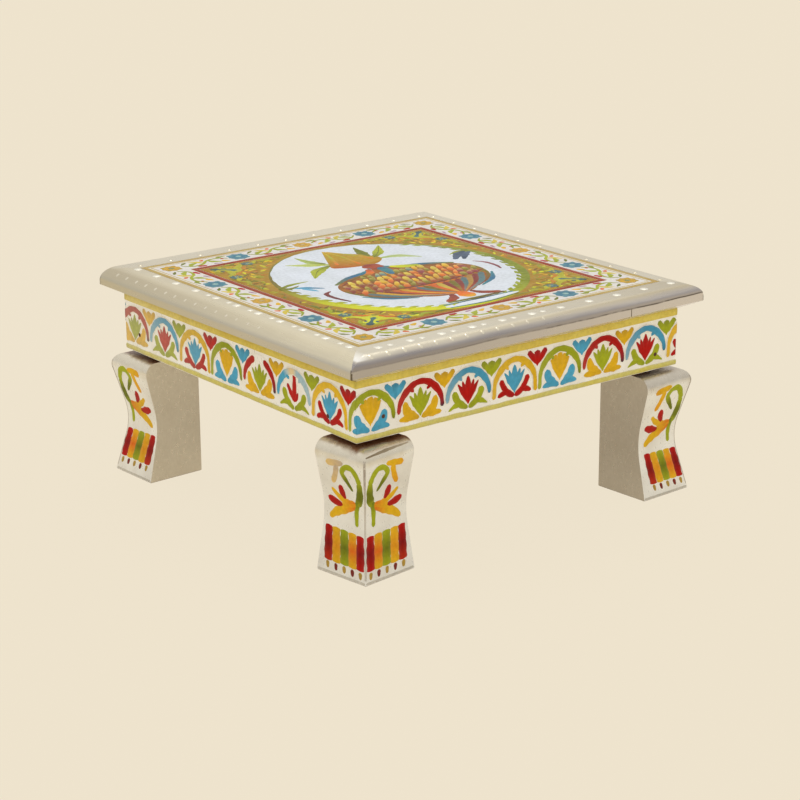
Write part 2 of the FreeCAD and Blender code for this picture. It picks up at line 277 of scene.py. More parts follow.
def rim_painted_light(shader, tint, tones):
    """Painted light on a bent sheet: painted shade towards its far end, stronger on the roll, painted grey
    shade on its nose, and a painted floor reflection on its underside.
    """
    way, far_shade, nose_near, nose_far, under = tones
    upward = shader.parts(shader.coordinates("Normal"))[2]
    reach = shader.ranged(shader.dot(shader.coordinates(), way), -RIM_REACH, RIM_REACH, 0.0, 1.0)
    tint = shader.mix(shader.times(shader.maths("POWER", reach, 1.6), far_shade), tint, METAL_TARNISH_AND_SHADE)
    roll = shader.times(shader.ranged(upward, 0.99, 0.9, 0.0, 0.9), reach)
    tint = shader.mix(roll, tint, METAL_TARNISH_AND_SHADE)
    nose = shader.mix(reach, nose_near, nose_far)
    tint = shader.mix(shader.ranged(upward, 0.9, 0.3, 0.0, 1.0), tint, nose)
    return shader.mix(shader.ranged(upward, -0.1, -0.4, 0.0, 1.0), tint, under)


def white_metal_material(name, scratch_stretch=(1, 1, 1), colour=METAL, tones=None, nose_reflection=False):
    """Bare white metal sheet, scratched evenly or mostly one way. Rim sheets also get their painted light,
    and the front one the painted reflection and highlight on its nose.
    """
    shader = material_shader(name)
    tint, rough, normal = metal_finish(shader, colour, METAL_TARNISH_AND_SHADE, scratch_stretch)
    if tones:
        tint = rim_painted_light(shader, tint, tones)
    if nose_reflection:
        tint = painted_nose_reflection(shader, tint, scratch_stretch)
    return shader.dress(tint, rough, normal, BARE_METALLIC)


def lacquered(shader, ground):
    """The thin pale lacquer that the painter laid over the metal before the colours."""
    return shader.mix(shader.cloud(55, 4, (0.4, 0.75), (0.0, 0.6)), *ground)


def ribbon_material():
    """The apron's strip: embossed metal under a pale lacquer ground, greyer where it wore thin."""
    shader = material_shader("ribbon_metal")
    tint, rough, normal = metal_finish(shader, METAL, METAL_TARNISH_AND_SHADE, (1, 1, 0.5))
    worn = shader.cloud(60, 3, (0.5, 0.8), (0.0, 0.5))
    colour = shader.mix(worn, lacquered(shader, RIBBON_GROUND), tint)
    return shader.dress(colour, rough, normal, shader.ranged(worn, 0, 1, 0.15, 0.8))


# The legs' lacquer: the heights between which it ends below the knee, and how unevenly. The brown painted
# shade on the knees' tops under the apron: where it starts and ends, and how unevenly
LACQUER_END = (78 * MM, 84 * MM)
LACQUER_SWAY = (-6 * MM, 6 * MM)
KNEE_SHADE = linear(114, 66, 24)
KNEE_SHADE_END = (APRON_OUT * MM, (APRON_OUT + 4.5) * MM)
KNEE_SHADE_SWAY = (-1.5 * MM, 1.5 * MM)


def sheath_material(name, metal, shade_strength):
    """A leg's metal: bare on its flat inner faces, with a pale lacquer ground on the curved outer ones,
    and painted brown shade on top of the knee, under the apron."""
    shader = material_shader(name)
    tint, rough, normal = metal_finish(shader, *metal, (1, 1, 0.6))
    place, facing = shader.coordinates(), shader.coordinates("Normal")
    x, y, height = shader.parts(place)
    upright = shader.parts(facing)[2]
    corner = shader.add("VectorMath", {0: place}, operation="SIGN").outputs[0]
    outward = shader.maths("SUBTRACT", shader.dot(corner, facing), upright)
    uneven = shader.maths("ADD", height, shader.cloud(70, 3, (0, 1), LACQUER_SWAY))
    below_knee = shader.ranged(uneven, *LACQUER_END, 1.0, 0.0)
    lacquer = shader.times(shader.ranged(outward, 0.2, 0.6, 0.0, 1.0), below_knee)
    colour = shader.mix(lacquer, tint, lacquered(shader, LEG_GROUND))
    outside = shader.maths("MAXIMUM", shader.maths("ABSOLUTE", x), shader.maths("ABSOLUTE", y))
    outside = shader.maths("ADD", outside, shader.cloud(160, 3, (0.3, 0.7), KNEE_SHADE_SWAY))
    on_top = shader.ranged(upright, 0.5, 0.8, 0.0, 1.0)
    # Brown painted shade on the knee's top, under the apron
    shade_share = shader.times(shader.ranged(outside, *KNEE_SHADE_END, shade_strength, 0.0), on_top)
    colour = shader.mix(shade_share, colour, KNEE_SHADE)
    covered = shader.maths("MAXIMUM", lacquer, shade_share)
    return shader.dress(colour, rough, normal, shader.ranged(covered, 0, 1, BARE_METALLIC, 0.2))


def wood_material(name, light, dark, along):
    """Stained wood whose grain runs along one axis."""
    shader = material_shader(name)
    stretch = [1.0, 1.0, 1.0]
    stretch[along] = 0.07
    grain = shader.noise(420, 5, stretch)
    fibre = shader.noise(1500, 2, stretch)
    colour = shader.mix(shader.ranged(grain, 0.35, 0.65, 0.0, 1.0), light, dark)
    colour = shader.mix(shader.ranged(fibre, 0.5, 0.8, 0.0, 0.5), colour, dark)
    rough = shader.ranged(grain, 0.3, 0.7, 0.5, 0.75)
    return shader.dress(colour, rough, shader.bump(fibre, 0.0001, 0.6))


def nail_material():
    """Dark oxidised steel."""
    shader = material_shader("dark_nail")
    rust = shader.cloud(1400, 3, (0.4, 0.65), (0.0, 1.0))
    colour = shader.mix(rust, linear(78, 60, 52), linear(116, 66, 40))
    normal = shader.bump(shader.noise(1800, 2), 0.00008, 0.6)
    return shader.dress(colour, shader.ranged(rust, 0, 1, 0.4, 0.75), normal, 0.7)


def seam_material():
    """Grime in the joints of the sheets."""
    shader = material_shader("seam_grime")
    grime = shader.cloud(800, 3, (0.35, 0.65), (0.0, 1.0))
    colour = shader.mix(grime, linear(92, 80, 62), linear(128, 114, 92))
    normal = shader.bump(grime, 0.00005, 0.5)
    return shader.dress(colour, shader.ranged(grime, 0, 1, 0.5, 0.7), normal, 0.4)


# Places on the table


# A square's corners, counter-clockwise from the front left one
SQUARE = ((-1, -1), (1, -1), (1, 1), (-1, 1))


def quarter_turned(u, v, quarters):
    """A place turned counter-clockwise about the table's middle by quarter turns."""
    for _ in range(quarters):
        u, v = -v, u
    return u, v


def circle(u, v, radius, count):
    """Even places on a circle, counter-clockwise from its right."""
    turns = [2 * math.pi * i / count for i in range(count)]
    return [(u + radius * math.cos(turn), v + radius * math.sin(turn)) for turn in turns]


# Surfaces that carry paint. Each turns a place (u, v) and a height h over the metal into a frame point


class FlatTop:
    """The top panel, seen from above: u along X, v along Y."""

    def at(self, u, v, h):
        return (u, v, PANEL_TOP + h)


class ApronStrip:
    """The ribbon unrolled: u runs to the right from the front-left corner and round the table, v is the
    height. A place close to a corner goes onto it, and none comes right up to the seam."""

    snap = 0.8
    start = (2 + SEAM_SHARE - 4) * STRIP_SIDE
    end = (2 + SEAM_SHARE) * STRIP_SIDE
    seam_gap = 0.5

    def at(self, u, v, h):
        u = min(max(u, self.start + self.seam_gap), self.end - self.seam_gap)
        side = math.floor(u / STRIP_SIDE)
        run = u - side * STRIP_SIDE
        reach = APRON_OUT + h
        x = run - APRON_OUT
        if run < self.snap:
            x = -reach
        elif run > STRIP_SIDE - self.snap:
            x = reach
        return (*quarter_turned(x, -reach, side % 4), v)


class LegFace:
    """One curved outer face of a leg: u is the distance from the ridge, v the height. How far the face
    reaches out at each height is read from the leg's sheath."""

    heights = np.arange(0.6, 88.0, 0.4)

    def __init__(self, corner, quarter, second):
        turn = Matrix.Rotation(quarter * QUARTER, 4, "Z")
        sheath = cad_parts["leg_sheath_" + corner].data
        self.turn = turn @ self.hand_turn(sheath, turn.inverted())
        local = self.turn.inverted()
        points = [local @ v.co for v in sheath.vertices]
        tree = BVHTree.FromPolygons(points, [p.vertices for p in sheath.polygons])
        self.reach = []
        for z in self.heights:
            outside = Vector((NOSE_OUT * 2 * MM, DOWEL_PLACE * MM, z * MM))
            self.reach.append(tree.ray_cast(outside, Vector((-1, 0, 0)))[0].x / MM)
        self.slope = np.gradient(self.reach, self.heights)
        self.second = second

    def hand_turn(self, sheath, back):
        """The small angle at which the leg was set on its dowel, read from its largest flat face."""
        largest = max(sheath.polygons, key=lambda p: p.area if abs(p.normal.z) < 0.01 else 0)
        normal = back.to_3x3() @ largest.normal
        angle = math.atan2(normal.y, normal.x)
        small = angle - round(angle / QUARTER) * QUARTER
        pivot = Matrix.Translation(Vector((DOWEL_PLACE, DOWEL_PLACE, 0)) * MM)
        return pivot @ Matrix.Rotation(small, 4, "Z") @ pivot.inverted()

    def at(self, u, v, h):
        reach = float(np.interp(v, self.heights, self.reach))
        slope = float(np.interp(v, self.heights, self.slope))
        length = math.hypot(1, slope)
        out, side, up = reach + h / length, reach - u, v - h * slope / length
        spot = (side, out, up) if self.second else (out, side, up)
        return tuple(self.turn @ (Vector(spot) * MM) / MM)


# Paint


def smooth_line(points, step):
    """A soft line through given points, with places about one step apart."""
    points = np.array(points, float)
    padded = np.vstack([2 * points[0] - points[1], points, 2 * points[-1] - points[-2]])
    line = []
    for i in range(len(points) - 1):
        a, b, c, d = padded[i : i + 4]
        slope, bend, twist = c - a, 2 * a - 5 * b + 4 * c - d, 3 * b - a - 3 * c + d
        count = max(2, int(np.linalg.norm(c - b) / step))
        for t in np.arange(count) / count:
            line.append(0.5 * (2 * b + slope * t + bend * t**2 + twist * t**3))
    line.append(points[-1])
    return np.array(line)


def run_lengths(points):
    """How far each point lies along a line."""
    return np.concatenate([[0], np.cumsum(np.linalg.norm(np.diff(points, axis=0), axis=1))])


def along(values, shares, knots):
    """Values read at the given shares of a line's length. They stand at the line's own points when
    there is one for each, and are else spread evenly."""
    values = np.array(values, float)
    spread = knots if len(values) == len(knots) else np.linspace(0, 1, len(values))
    if values.ndim == 1:
        return np.interp(shares, spread, values)
    return np.stack([np.interp(shares, spread, column) for column in values.T], -1)


# How deep the edges of paint lie in the metal
EDGE_SINK = 0.05


class Paint:
    """Collects brush strokes and flat coats on one surface, and makes one mesh of them."""

    # Across a stroke: the place from edge to edge, and the height there as a share of the crown
    section = ((-1, -0.5), (-0.86, 0.55), (-0.45, 0.92), (0, 1), (0.45, 0.92), (0.86, 0.55), (1, -0.5))
    # The same for a patch, from its outline to its middle
    patch_rows = ((1, -0.5), (0.95, 0.5), (0.75, 0.85), (0.45, 1), (0.1, 1))
    # A stroke's width: how much fuller than drawn, how far and how fast it sways, its least half, and the
    # least share of that at the ends
    fullness = 1.08
    sway = 0.06
    sway_rate = 0.9
    least_half = 0.05
    least_end_share = 0.12
    # The half-width that gives a stroke its full crown, and the least share of it
    crown_half = 1.6
    least_crown_share = 0.35
    # How the tone varies from stroke to stroke, and how pale its edges are
    tones = (0.93, 1.07)
    edge_paleness = 0.05
    # The sloping lip of a coat: its width, and its most as a share of the coat
    lip = 0.35
    most_lip_share = 0.3

    def __init__(self, surface, seed, level=0.0, fade=None):
        self.surface = surface
        self.random = random.Random(seed)
        self.level = level
        self.fade = fade
        self.points = []
        self.faces = []
        self.colours = []

    def add_point(self, u, v, h, colour):
        if self.fade:
            colour = self.fade(u, colour)
        self.points.append(Vector(self.surface.at(u, v, h)) * MM)
        self.colours.append(tuple(colour))

    def net(self, rows, columns, start):
        """Faces between rows of points that were added one after another."""
        for i in range(rows - 1):
            for j in range(columns - 1):
                a = start + i * columns + j
                self.faces.append((a, a + 1, a + columns + 1, a + columns))

    def stroke(self, line, widths, colours, level=None, crown=0.13, step=0.9, sink=EDGE_SINK, end=1.0):
        """One stroke of the brush. widths are half-widths and colours tones, spread along the line.
        The ends are rounded over a share of the half-width."""
        level = self.level if level is None else level
        path = smooth_line(line, step)
        runs = run_lengths(path)
        shares = runs / runs[-1]
        knots = run_lengths(np.array(line, float))
        knots /= knots[-1]
        sway = 1 + self.sway * np.sin(self.random.uniform(0, 2 * math.pi) + runs * self.sway_rate)
        half = np.maximum(along(widths, shares, knots) * sway * self.fullness, self.least_half)
        from_end = np.clip(np.minimum(runs, runs[-1] - runs) / (half * end), 0, 1)
        half = half * np.maximum(np.sqrt(1 - (1 - from_end) ** 2), self.least_end_share)
        tangent = np.gradient(path, axis=0)
        tangent /= np.linalg.norm(tangent, axis=1)[:, None] + 1e-9
        normal = np.stack([-tangent[:, 1], tangent[:, 0]], -1)
        inks = along(colours, shares, knots) * self.random.uniform(*self.tones)
        start = len(self.points)
        for place, out, width, ink in zip(path, normal, half, inks):
            lift = crown * min(1, max(self.least_crown_share, width / self.crown_half))
            for across, share in self.section:
                u, v = place + out * width * across
                drop = sink if abs(across) == 1 else 0
                tone = mixed(ink, CREAM, self.edge_paleness * across**2)
                self.add_point(u, v, level + lift * share - drop, tone)
        self.net(len(path), len(self.section), start)

    def strokes(self, table, **brush):
        for line, widths, colours in table:
            self.stroke(line, widths, colours, **brush)

    def coat(self, outer, inner, height, colour_at, rows):
        """A flat coat between two closed outlines with equal numbers of points."""
        outer, inner = np.array(outer, float), np.array(inner, float)
        gap = np.linalg.norm(outer - inner, axis=1).mean()
        edge = min(self.most_lip_share, self.lip / gap)
        shares = [0, *np.linspace(edge, 1 - edge, rows), 1]
        start = len(self.points)
        count = len(outer)
        for i in range(count + 1):
            a, b = outer[i % count], inner[i % count]
            for share in shares:
                u, v = a + (b - a) * share
                h = self.level - EDGE_SINK if share in (0, 1) else height
                self.add_point(u, v, h, colour_at(u, v))
        self.net(count + 1, len(shares), start)

    def blob(self, outline, colour_at, level=None, crown=0.12, step=1.5):
        """A domed patch inside a closed outline round its own middle."""
        level = self.level if level is None else level
        ring = smooth_line([*outline, outline[0]], step)[:-1]
        middle = ring.mean(0)
        start = len(self.points)
        columns = len(self.patch_rows)
        for i in range(len(ring) + 1):
            for share, height in self.patch_rows:
                u, v = middle + (ring[i % len(ring)] - middle) * share
                self.add_point(u, v, level + crown * height, colour_at(u, v))
        self.net(len(ring) + 1, columns, start)
        centre = len(self.points)
        self.add_point(*middle, level + crown, colour_at(*middle))
        for i in range(len(ring)):
            last = start + (i + 1) * columns - 1
            self.faces.append((last, centre, last + columns))

    def build(self, name, material, slot):
        add_piece(name, self.points, self.faces, material, slot, self.colours)


def add_object(name, data):
    thing = bpy.data.objects.new(name, data)
    bpy.context.scene.collection.objects.link(thing)
    return thing


def add_piece(name, points, faces, material, slot, colours=None):
    """Makes a smooth piece of a mesh and seats it on the table. Each point's colour, if it has one, is kept
    in an attribute that the enamel reads."""
    mesh = bpy.data.meshes.new(name)
    mesh.from_pydata(points, [], faces)
    if colours:
        layer = mesh.color_attributes.new("paint", "FLOAT_COLOR", "POINT")
        layer.data.foreach_set("color", np.array([(*c, 1.0) for c in colours], float).ravel())
    piece = add_object(name, mesh)
    mesh.materials.append(material)
    mesh.validate()
    mesh.polygons.foreach_set("use_smooth", [True] * len(mesh.polygons))
    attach(piece, "root")


def cloudy(one, other, size, seed=0.0):
    """A colour that drifts between two tones over a surface."""

    def colour_at(u, v):
        share = 0.5 + 0.5 * noise.noise(Vector((u / size, v / size, seed)))
        return mixed(one, other, min(1, max(0, share)))

    return colour_at


def mirrored(points, side):
    return [(u * side, v) for u, v in points]


def shifted(points, u0, v0, turn=0.0):
    """Points turned and moved to a place on the surface."""
    c, s = math.cos(turn), math.sin(turn)
    return [(u0 + u * c - v * s, v0 + u * s + v * c) for u, v in points]


# The apron's ribbon


OUTLINE = 0.5
OUTLINE_CROWN = 0.05
OUTLINE_TONE = linear(242, 236, 222)
# The painter worked a little low on the relief
PAINT_LOW = -0.4


def outlined(paint, strokes, centre, inks, level=0.0, sink=EDGE_SINK, end=1.0):
    """Strokes of one colour over slightly wider pale ones, the raised metal line round them."""
    placed = [(shifted(line, centre, PAINT_LOW), widths) for line, widths in strokes]
    for line, widths in placed:
        wide = [w + OUTLINE for w in widths]
        paint.stroke(line, wide, [OUTLINE_TONE], level=level, crown=OUTLINE_CROWN, sink=sink)
    for line, widths in placed:
        paint.stroke(line, widths, inks, level=level, sink=sink, end=end)


# Where an arch's left and right tails end and their half-widths there, by its turn in the sequence
TAILS = (
    ((99.2, 1.5), (103.6, 0.9)),
    ((105.4, 0.8), (104.2, 1.7)),
    ((104.8, 0.8), (105.4, 1.0)),
    ((99.6, 1.8), (99.2, 1.8)),
)
# How far the tails lean out, and the half-width of an arch at its foot and how it grows on the shoulders
# and at the crown
TAIL_LEAN = 0.6
FOOT_HALF = 1.55
SHOULDER_GAIN = 0.65
CROWN_GAIN = 0.45
# The paint keeps this far inside the band's outer edge
BAND_ROOM = 0.1
FOOT_REACH = ARCH_OUTER - FOOT_HALF - BAND_ROOM
ARCH_STEPS = 14
CUSP = ([(11.6, 121.4), (8.2, 121.0), (5.4, 118.0)], [1.2, 2.3, 0.5])


def arch_line(order):
    """The middle line of an arch's paint and its half-widths: thin at the feet, fullest on the shoulders."""
    (left_low, left_half), (right_low, right_half) = TAILS[order]
    line = [(-FOOT_REACH - TAIL_LEAN, left_low), (-FOOT_REACH - BAND_ROOM, (left_low + SPRING) / 2)]
    widths = [left_half, (left_half + FOOT_HALF) / 2]
    for i in range(ARCH_STEPS + 1):
        turn = math.pi * i / ARCH_STEPS
        half = FOOT_HALF + SHOULDER_GAIN * math.sin(2 * turn) ** 2 + CROWN_GAIN * math.sin(turn)
        reach = ARCH_OUTER - half - BAND_ROOM
        line.append((-reach * math.cos(turn), SPRING + reach * math.sin(turn)))
        widths.append(half)
    line += [(FOOT_REACH + BAND_ROOM, (right_low + SPRING) / 2), (FOOT_REACH + TAIL_LEAN, right_low)]
    widths += [(right_half + FOOT_HALF) / 2, right_half]
    return line, widths


# Where a worn crown's paint ends: how far from the arch's middle line, how high, and its half-width
WORN_GAP = 5.3
WORN_HEIGHT = 123.9
WORN_HALF = 2.4


def draw_arch(paint, centre, order, inks, missing_crown=False):
    """An arch on its raised band, with tails on the flat metal and a cusp inside each shoulder. Where the
    crown's paint is missing, so are the cusps."""
    line, widths = arch_line(order)
    parts = [(line, widths, inks)]
    if missing_crown:
        low, high = len(line) // 2 - 1, len(line) // 2 + 2
        left = ([*line[:low], (-WORN_GAP, WORN_HEIGHT)], [*widths[:low], WORN_HALF])
        right = ([(WORN_GAP, WORN_HEIGHT), *line[high:]], [WORN_HALF, *widths[high:]])
        parts = [(*left, inks[:low] + inks[:1]), (*right, inks[high - 1 :])]
    for part, half, tones in parts:
        outlined(paint, [(part, half)], centre, tones, RIBBON_RELIEF, RIBBON_RELIEF)
    if missing_crown:
        return
    line, widths = CUSP
    for side in (-1, 1):
        place = shifted(mirrored(line, side), centre, PAINT_LOW)
        ink = inks[len(inks) // 2 + 4 * side]
        paint.stroke(place, widths, [ink], level=RIBBON_RELIEF, crown=0.12, sink=RIBBON_RELIEF)


# What stands in an arch, beside its foot, and between two arches: lines from the middle line outward
PALMETTE = (
    ([(0.5, 102.6), (4.2, 109.8), (8.8, 116.2)], [0.6, 2.2, 0.5]),
    ([(0.3, 102.0), (2.6, 110.0), (4.8, 117.6)], [0.5, 2.4, 0.5]),
    ([(0, 101.0), (0, 107), (0, 114), (0, 120.6)], [0.5, 2.6, 3.0, 0.6]),
)
CONE = (
    ([(1.0, 106.0), (4.6, 112), (8.3, 120.4)], [0.6, 1.8, 1.3]),
    ([(0.5, 103.5), (3.2, 111), (4.8, 121.2)], [0.5, 2.3, 2.0]),
    ([(0, 102), (0, 110), (0, 117), (0, 122.4)], [0.4, 2.4, 3.0, 2.0]),
)
SLIM_PALMETTE = (
    ([(0.6, 104.0), (3.0, 107.4), (4.4, 111.0)], [0.8, 1.6, 0.5]),
    ([(-0.3, 103.4), (0.2, 110), (0.4, 118), (0.2, 125.0)], [0.8, 2.6, 1.9, 1.7]),
    ([(-0.6, 104.0), (-4.0, 109.5), (-7.8, 114.8)], [0.8, 2.0, 1.4]),
)
LEAVES = (
    (
        ([(0.6, 99.0), (6, 101.6), (10.0, 105.8), (11.4, 111.6)], [1.2, 3.0, 3.1, 2.5]),
        ([(5, 100.6), (10, 101.0), (15.4, 99.8)], [1.6, 2.4, 0.8]),
    ),
    (
        ([(0.8, 100.2), (6.5, 102.4), (10.8, 106.0), (12.8, 112.8)], [1.1, 3.1, 3.2, 1.9]),
        ([(5, 101.0), (10.5, 101.4), (17.4, 101.0)], [1.6, 2.6, 1.0]),
    ),
    (
        ([(0.2, 98.8), (5.5, 101.6), (9.4, 105.4), (12.0, 111.4)], [1.4, 2.4, 2.4, 2.7]),
        ([(5.5, 101.4), (10.5, 101.9), (16.6, 99.0)], [1.3, 1.9, 0.5]),
    ),
    (
        ([(0, 99.2), (5.2, 101.8), (9.2, 106.2), (12.0, 111.8)], [1.6, 2.3, 2.0, 2.3]),
        ([(5.5, 102.0), (10, 102.2), (14.6, 100.4)], [1.3, 2.0, 1.2]),
    ),
)
DROP = (
    ([(0.4, 117.2), (3.8, 122.2), (8.0, 127.2)], [0.5, 2.6, 1.6]),
    ([(0, 115.8), (0, 121), (0, 127.0)], [0.4, 2.9, 2.6]),
)


def both_sides(motif):
    """A motif with each stroke off its middle line drawn on both sides."""
    strokes = []
    for line, widths in motif:
        on_axis = all(u == 0 for u, _ in line)
        strokes += [(mirrored(line, side), widths) for side in ((1,) if on_axis else (-1, 1))]
    return strokes


# Inks by an arch's turn in the sequence: the arch, its tail's tip, palmette, side leaves, and drop after it
ARCADE_INKS = (
    (LIME, OLIVE, AMBER, BLUE, BLUE),
    (RED, NAVY, LIME, AMBER, AMBER),
    (BLUE, DEEP_BLUE, RED, LIME, LIME),
    (AMBER, AMBER, BLUE, RED, RED),
)
WORN_ARCH = -3
FADED_ARCH = -2
FADED_INKS = [
    *[BLUE] * 7,
    mixed(BLUE, CREAM, 0.5),
    *[mixed(AMBER, CREAM, 0.6)] * 2,
    *[mixed(BLUE, CREAM, 0.45)] * 9,
]


def worn_by_light(u, colour):
    """Paint is paler towards the far end of the left side."""
    left_share = min(1, max(0, (-u - 150) / 110)) if u > -STRIP_SIDE else 0
    return mixed(colour, CREAM, 0.22 * left_share)


def arch_numbers():
    first = math.ceil((ApronStrip.start - ARCH_START - ARCH_PITCH / 2) / ARCH_PITCH)
    last = math.floor((ApronStrip.end - ARCH_START + ARCH_PITCH / 2) / ARCH_PITCH)
    return range(first, last + 1)


def arch_inks(number, ink, tip):
    """The tones along an arch from its left tail to its right one."""
    if number == FADED_ARCH:
        return FADED_INKS
    start = mixed(ink, CREAM, 0.3 if ink == BLUE else 0.06)
    crown = mixed(ink, tip if ink in (BLUE, LIME) else DARK_RED if ink == RED else YELLOW, 0.3)
    inks = []
    for i in range(ARCH_STEPS + 5):
        share = i / (ARCH_STEPS + 4)
        tone = mixed(start, crown, min(1, share * 2)) if share < 0.5 else mixed(crown, ink, share * 2 - 1)
        inks.append(mixed(tone, tip, max(0, share - 0.78) / 0.22))
    return inks


def draw_arcade(paint):
    """All arches with what is painted in and between them."""
    for number in arch_numbers():
        centre = ARCH_START + number * ARCH_PITCH
        order = number % 4
        arch, tip, palmette, leaves, drop = ARCADE_INKS[order]
        draw_arch(paint, centre, order, arch_inks(number, arch, tip), missing_crown=number == WORN_ARCH)
        centre += paint.random.uniform(-0.4, 0.4)
        outlined(paint, both_sides(LEAVES[order]), centre, [mixed(leaves, NAVY, 0.15), leaves, leaves])
        motif = CONE if order == 0 else PALMETTE
        strokes = SLIM_PALMETTE if number == FADED_ARCH else both_sides(motif)
        outlined(paint, strokes, centre, [palmette, palmette, mixed(palmette, NAVY, 0.14)])
        inks = [drop, drop, mixed(drop, NAVY, 0.3)]
        outlined(paint, both_sides(DROP), centre + ARCH_PITCH / 2, inks, end=0.4)


def strip_places(step):
    """Even places along the strip from seam to seam, with one at each corner."""
    places = []
    edges = [ApronStrip.start, *[k * STRIP_SIDE for k in range(-1, 3)], ApronStrip.end]
    for low, high in zip(edges, edges[1:]):
        count = max(1, round((high - low) / step))
        places += [low + (high - low) * i / count for i in range(count)]
    return [*places, ApronStrip.end]


# Where the ribbon's stripes lie on their raised bands
TOP_STRIPE = (RIBBON_HIGH - 5.2, RIBBON_HIGH)
LOW_STRIPE = (RIBBON_LOW + 0.2, RIBBON_LOW + 4.0)
# Across a stripe: the place from its lower to its upper edge, and the height there
STRIPE_LIFT = RIBBON_RELIEF + 0.08
STRIPE_ROWS = ((0, -0.06), (0.08, STRIPE_LIFT), (0.5, STRIPE_LIFT + 0.03), (0.92, STRIPE_LIFT), (1, -0.06))
STRIPE_SWAY = 0.16


def draw_stripe(paint, low, high, ink, other):
    """A painted stripe on its raised band, with a slightly unsteady edge."""
    tone = cloudy(ink, other, 9, low)
    start = len(paint.points)
    places = strip_places(3.0)
    for u in places:
        sway = STRIPE_SWAY * noise.noise(Vector((u / 7, low, 0)))
        for share, h in STRIPE_ROWS:
            v = low + (high - low) * share + sway
            paint.add_point(u, v, h, tone(u, v))
    paint.net(len(places), len(STRIPE_ROWS), start)


# The ribbon's strokes were laid on more fully than the others
RIBBON_FULLNESS = 1.16


def paint_ribbon(enamel):
    paint = Paint(ApronStrip(), 11, fade=worn_by_light)
    paint.fullness = RIBBON_FULLNESS
    draw_stripe(paint, *TOP_STRIPE, linear(230, 212, 106), linear(216, 190, 84))
    draw_stripe(paint, *LOW_STRIPE, linear(218, 202, 100), linear(208, 200, 132))
    draw_arcade(paint)
    paint.build("ribbon_enamel", enamel, "painted_ribbon")


BEAD_PITCH = 1.7
BEAD_RADIUS = 0.42
BEAD_HEIGHT = 0.22
BEAD_SIDES = 6
BEAD_BASE = RIBBON_RELIEF + 0.05
# A bead's two rings: shares of its radius and height, and ink
BEAD_RINGS = ((1, 0, YELLOW), (0.6, 0.8, LEMON))


def ribbon_beads(enamel):
    """The fine dotted line pressed along the lower stripe."""
    surface = ApronStrip()
    paint = Paint(surface, 5)
    middle = sum(LOW_STRIPE) / 2
    for i in range(1, int((surface.end - surface.start) / BEAD_PITCH)):
        u = surface.start + i * BEAD_PITCH
        low = len(paint.points)
        high, tip = low + BEAD_SIDES, low + 2 * BEAD_SIDES
        for share, height, ink in BEAD_RINGS:
            for spot in circle(u, middle, BEAD_RADIUS * share, BEAD_SIDES):
                paint.add_point(*spot, BEAD_BASE + BEAD_HEIGHT * height, ink)
        paint.add_point(u, middle, BEAD_BASE + BEAD_HEIGHT, mixed(YELLOW, CREAM, 0.5))
        for j in range(BEAD_SIDES):
            k = (j + 1) % BEAD_SIDES
            paint.faces += [(low + j, low + k, high + k, high + j), (high + j, high + k, tip)]
    paint.build("ribbon_beads", enamel, "painted_ribbon")


# The legs' flowers, from the ridge outward, and the five stripes over the foot
LEG_FLOWER = (
    ([(21.5, 78.4), (30, 77.2), (38.8, 76.3)], [1.9, 2.9, 2.5], [AMBER, AMBER, mixed(AMBER, ORANGE, 0.3)]),
    ([(28.0, 76.2), (29.2, 69), (31.8, 61.8)], [2.5, 2.6, 2.4], [AMBER, mixed(AMBER, ORANGE, 0.4)]),
    ([(9.0, 50.5), (18, 50.2), (26, 53), (33.2, 57.8)], [1.6, 2.8, 2.2, 1.3], [ORANGE, AMBER, AMBER]),
    ([(9.0, 48.5), (19, 45.0), (28, 41.4), (35.4, 36.4)], [1.8, 3.6, 3.5, 1.8], [ORANGE, AMBER, AMBER]),
    ([(8.2, 49.9), (15.6, 48.0), (24, 45.0)], [3.2, 4.6, 3.4], [mixed(AMBER, ORANGE, 0.6), AMBER]),
    ([(24.8, 61.8), (22.8, 57.2), (19.2, 51.6)], [2.3, 3.0, 1.6], [RED, mixed(RED, MAROON, 0.3)]),
    ([(36.8, 50.4), (29.6, 48.2), (20.5, 46.4)], [2.2, 3.2, 1.5], [RED, mixed(RED, MAROON, 0.3)]),
    (
        [(11.6, 59.6), (17.3, 65.4), (22.6, 71.4), (19.4, 76.0), (13.5, 76.2), (8.6, 72), (4.9, 65.8)],
        [0.9, 1.9, 2.3, 2.4, 2.4, 2.4, 2.5],
        [OLIVE, OLIVE, LIME, LIME, LIME, LIME],
    ),
    ([(5.6, 67.5), (4.9, 60), (5.4, 54.5), (7.2, 49.0)], [2.5, 3.2, 3.7, 2.6], [LIME, OLIVE, OLIVE, LIME]),
    ([(7.4, 53.0), (8.4, 44), (8.2, 35.0)], [2.6, 2.2, 1.7], [OLIVE, LIME, LIME]),
)
LEG_STRIPES = (
    ([(4.6, 30.0), (4.6, 19), (4.9, 8.2)], [3.1, 3.8, 3.6], [RED, DARK_RED, RED]),
    ([(11.7, 30.4), (11.7, 19), (12.0, 8.2)], [3.5, 3.9, 3.8], [AMBER, ORANGE, AMBER]),
    ([(19.1, 30.6), (19.1, 19), (19.3, 8.4)], [3.6, 4.0, 3.9], [LIME, OLIVE, LIME]),
    ([(26.4, 30.8), (26.5, 19), (26.8, 8.2)], [3.5, 3.9, 3.8], [AMBER, mixed(AMBER, ORANGE, 0.5), AMBER]),
    ([(33.1, 31.0), (33.8, 19), (34.4, 8.4)], [3.1, 3.8, 3.7], [RED, DARK_RED, mixed(RED, ORANGE, 0.15)]),
)
LEG_DABS = (
    (4.8, 7.6, GOLD_BROWN),
    (12.1, 7.8, MAROON),
    (19.6, 8.0, GOLD_BROWN),
    (27.2, 8.0, MAROON),
    (34.8, 8.2, GOLD_BROWN),
)
DAB_LENGTH = 4.6
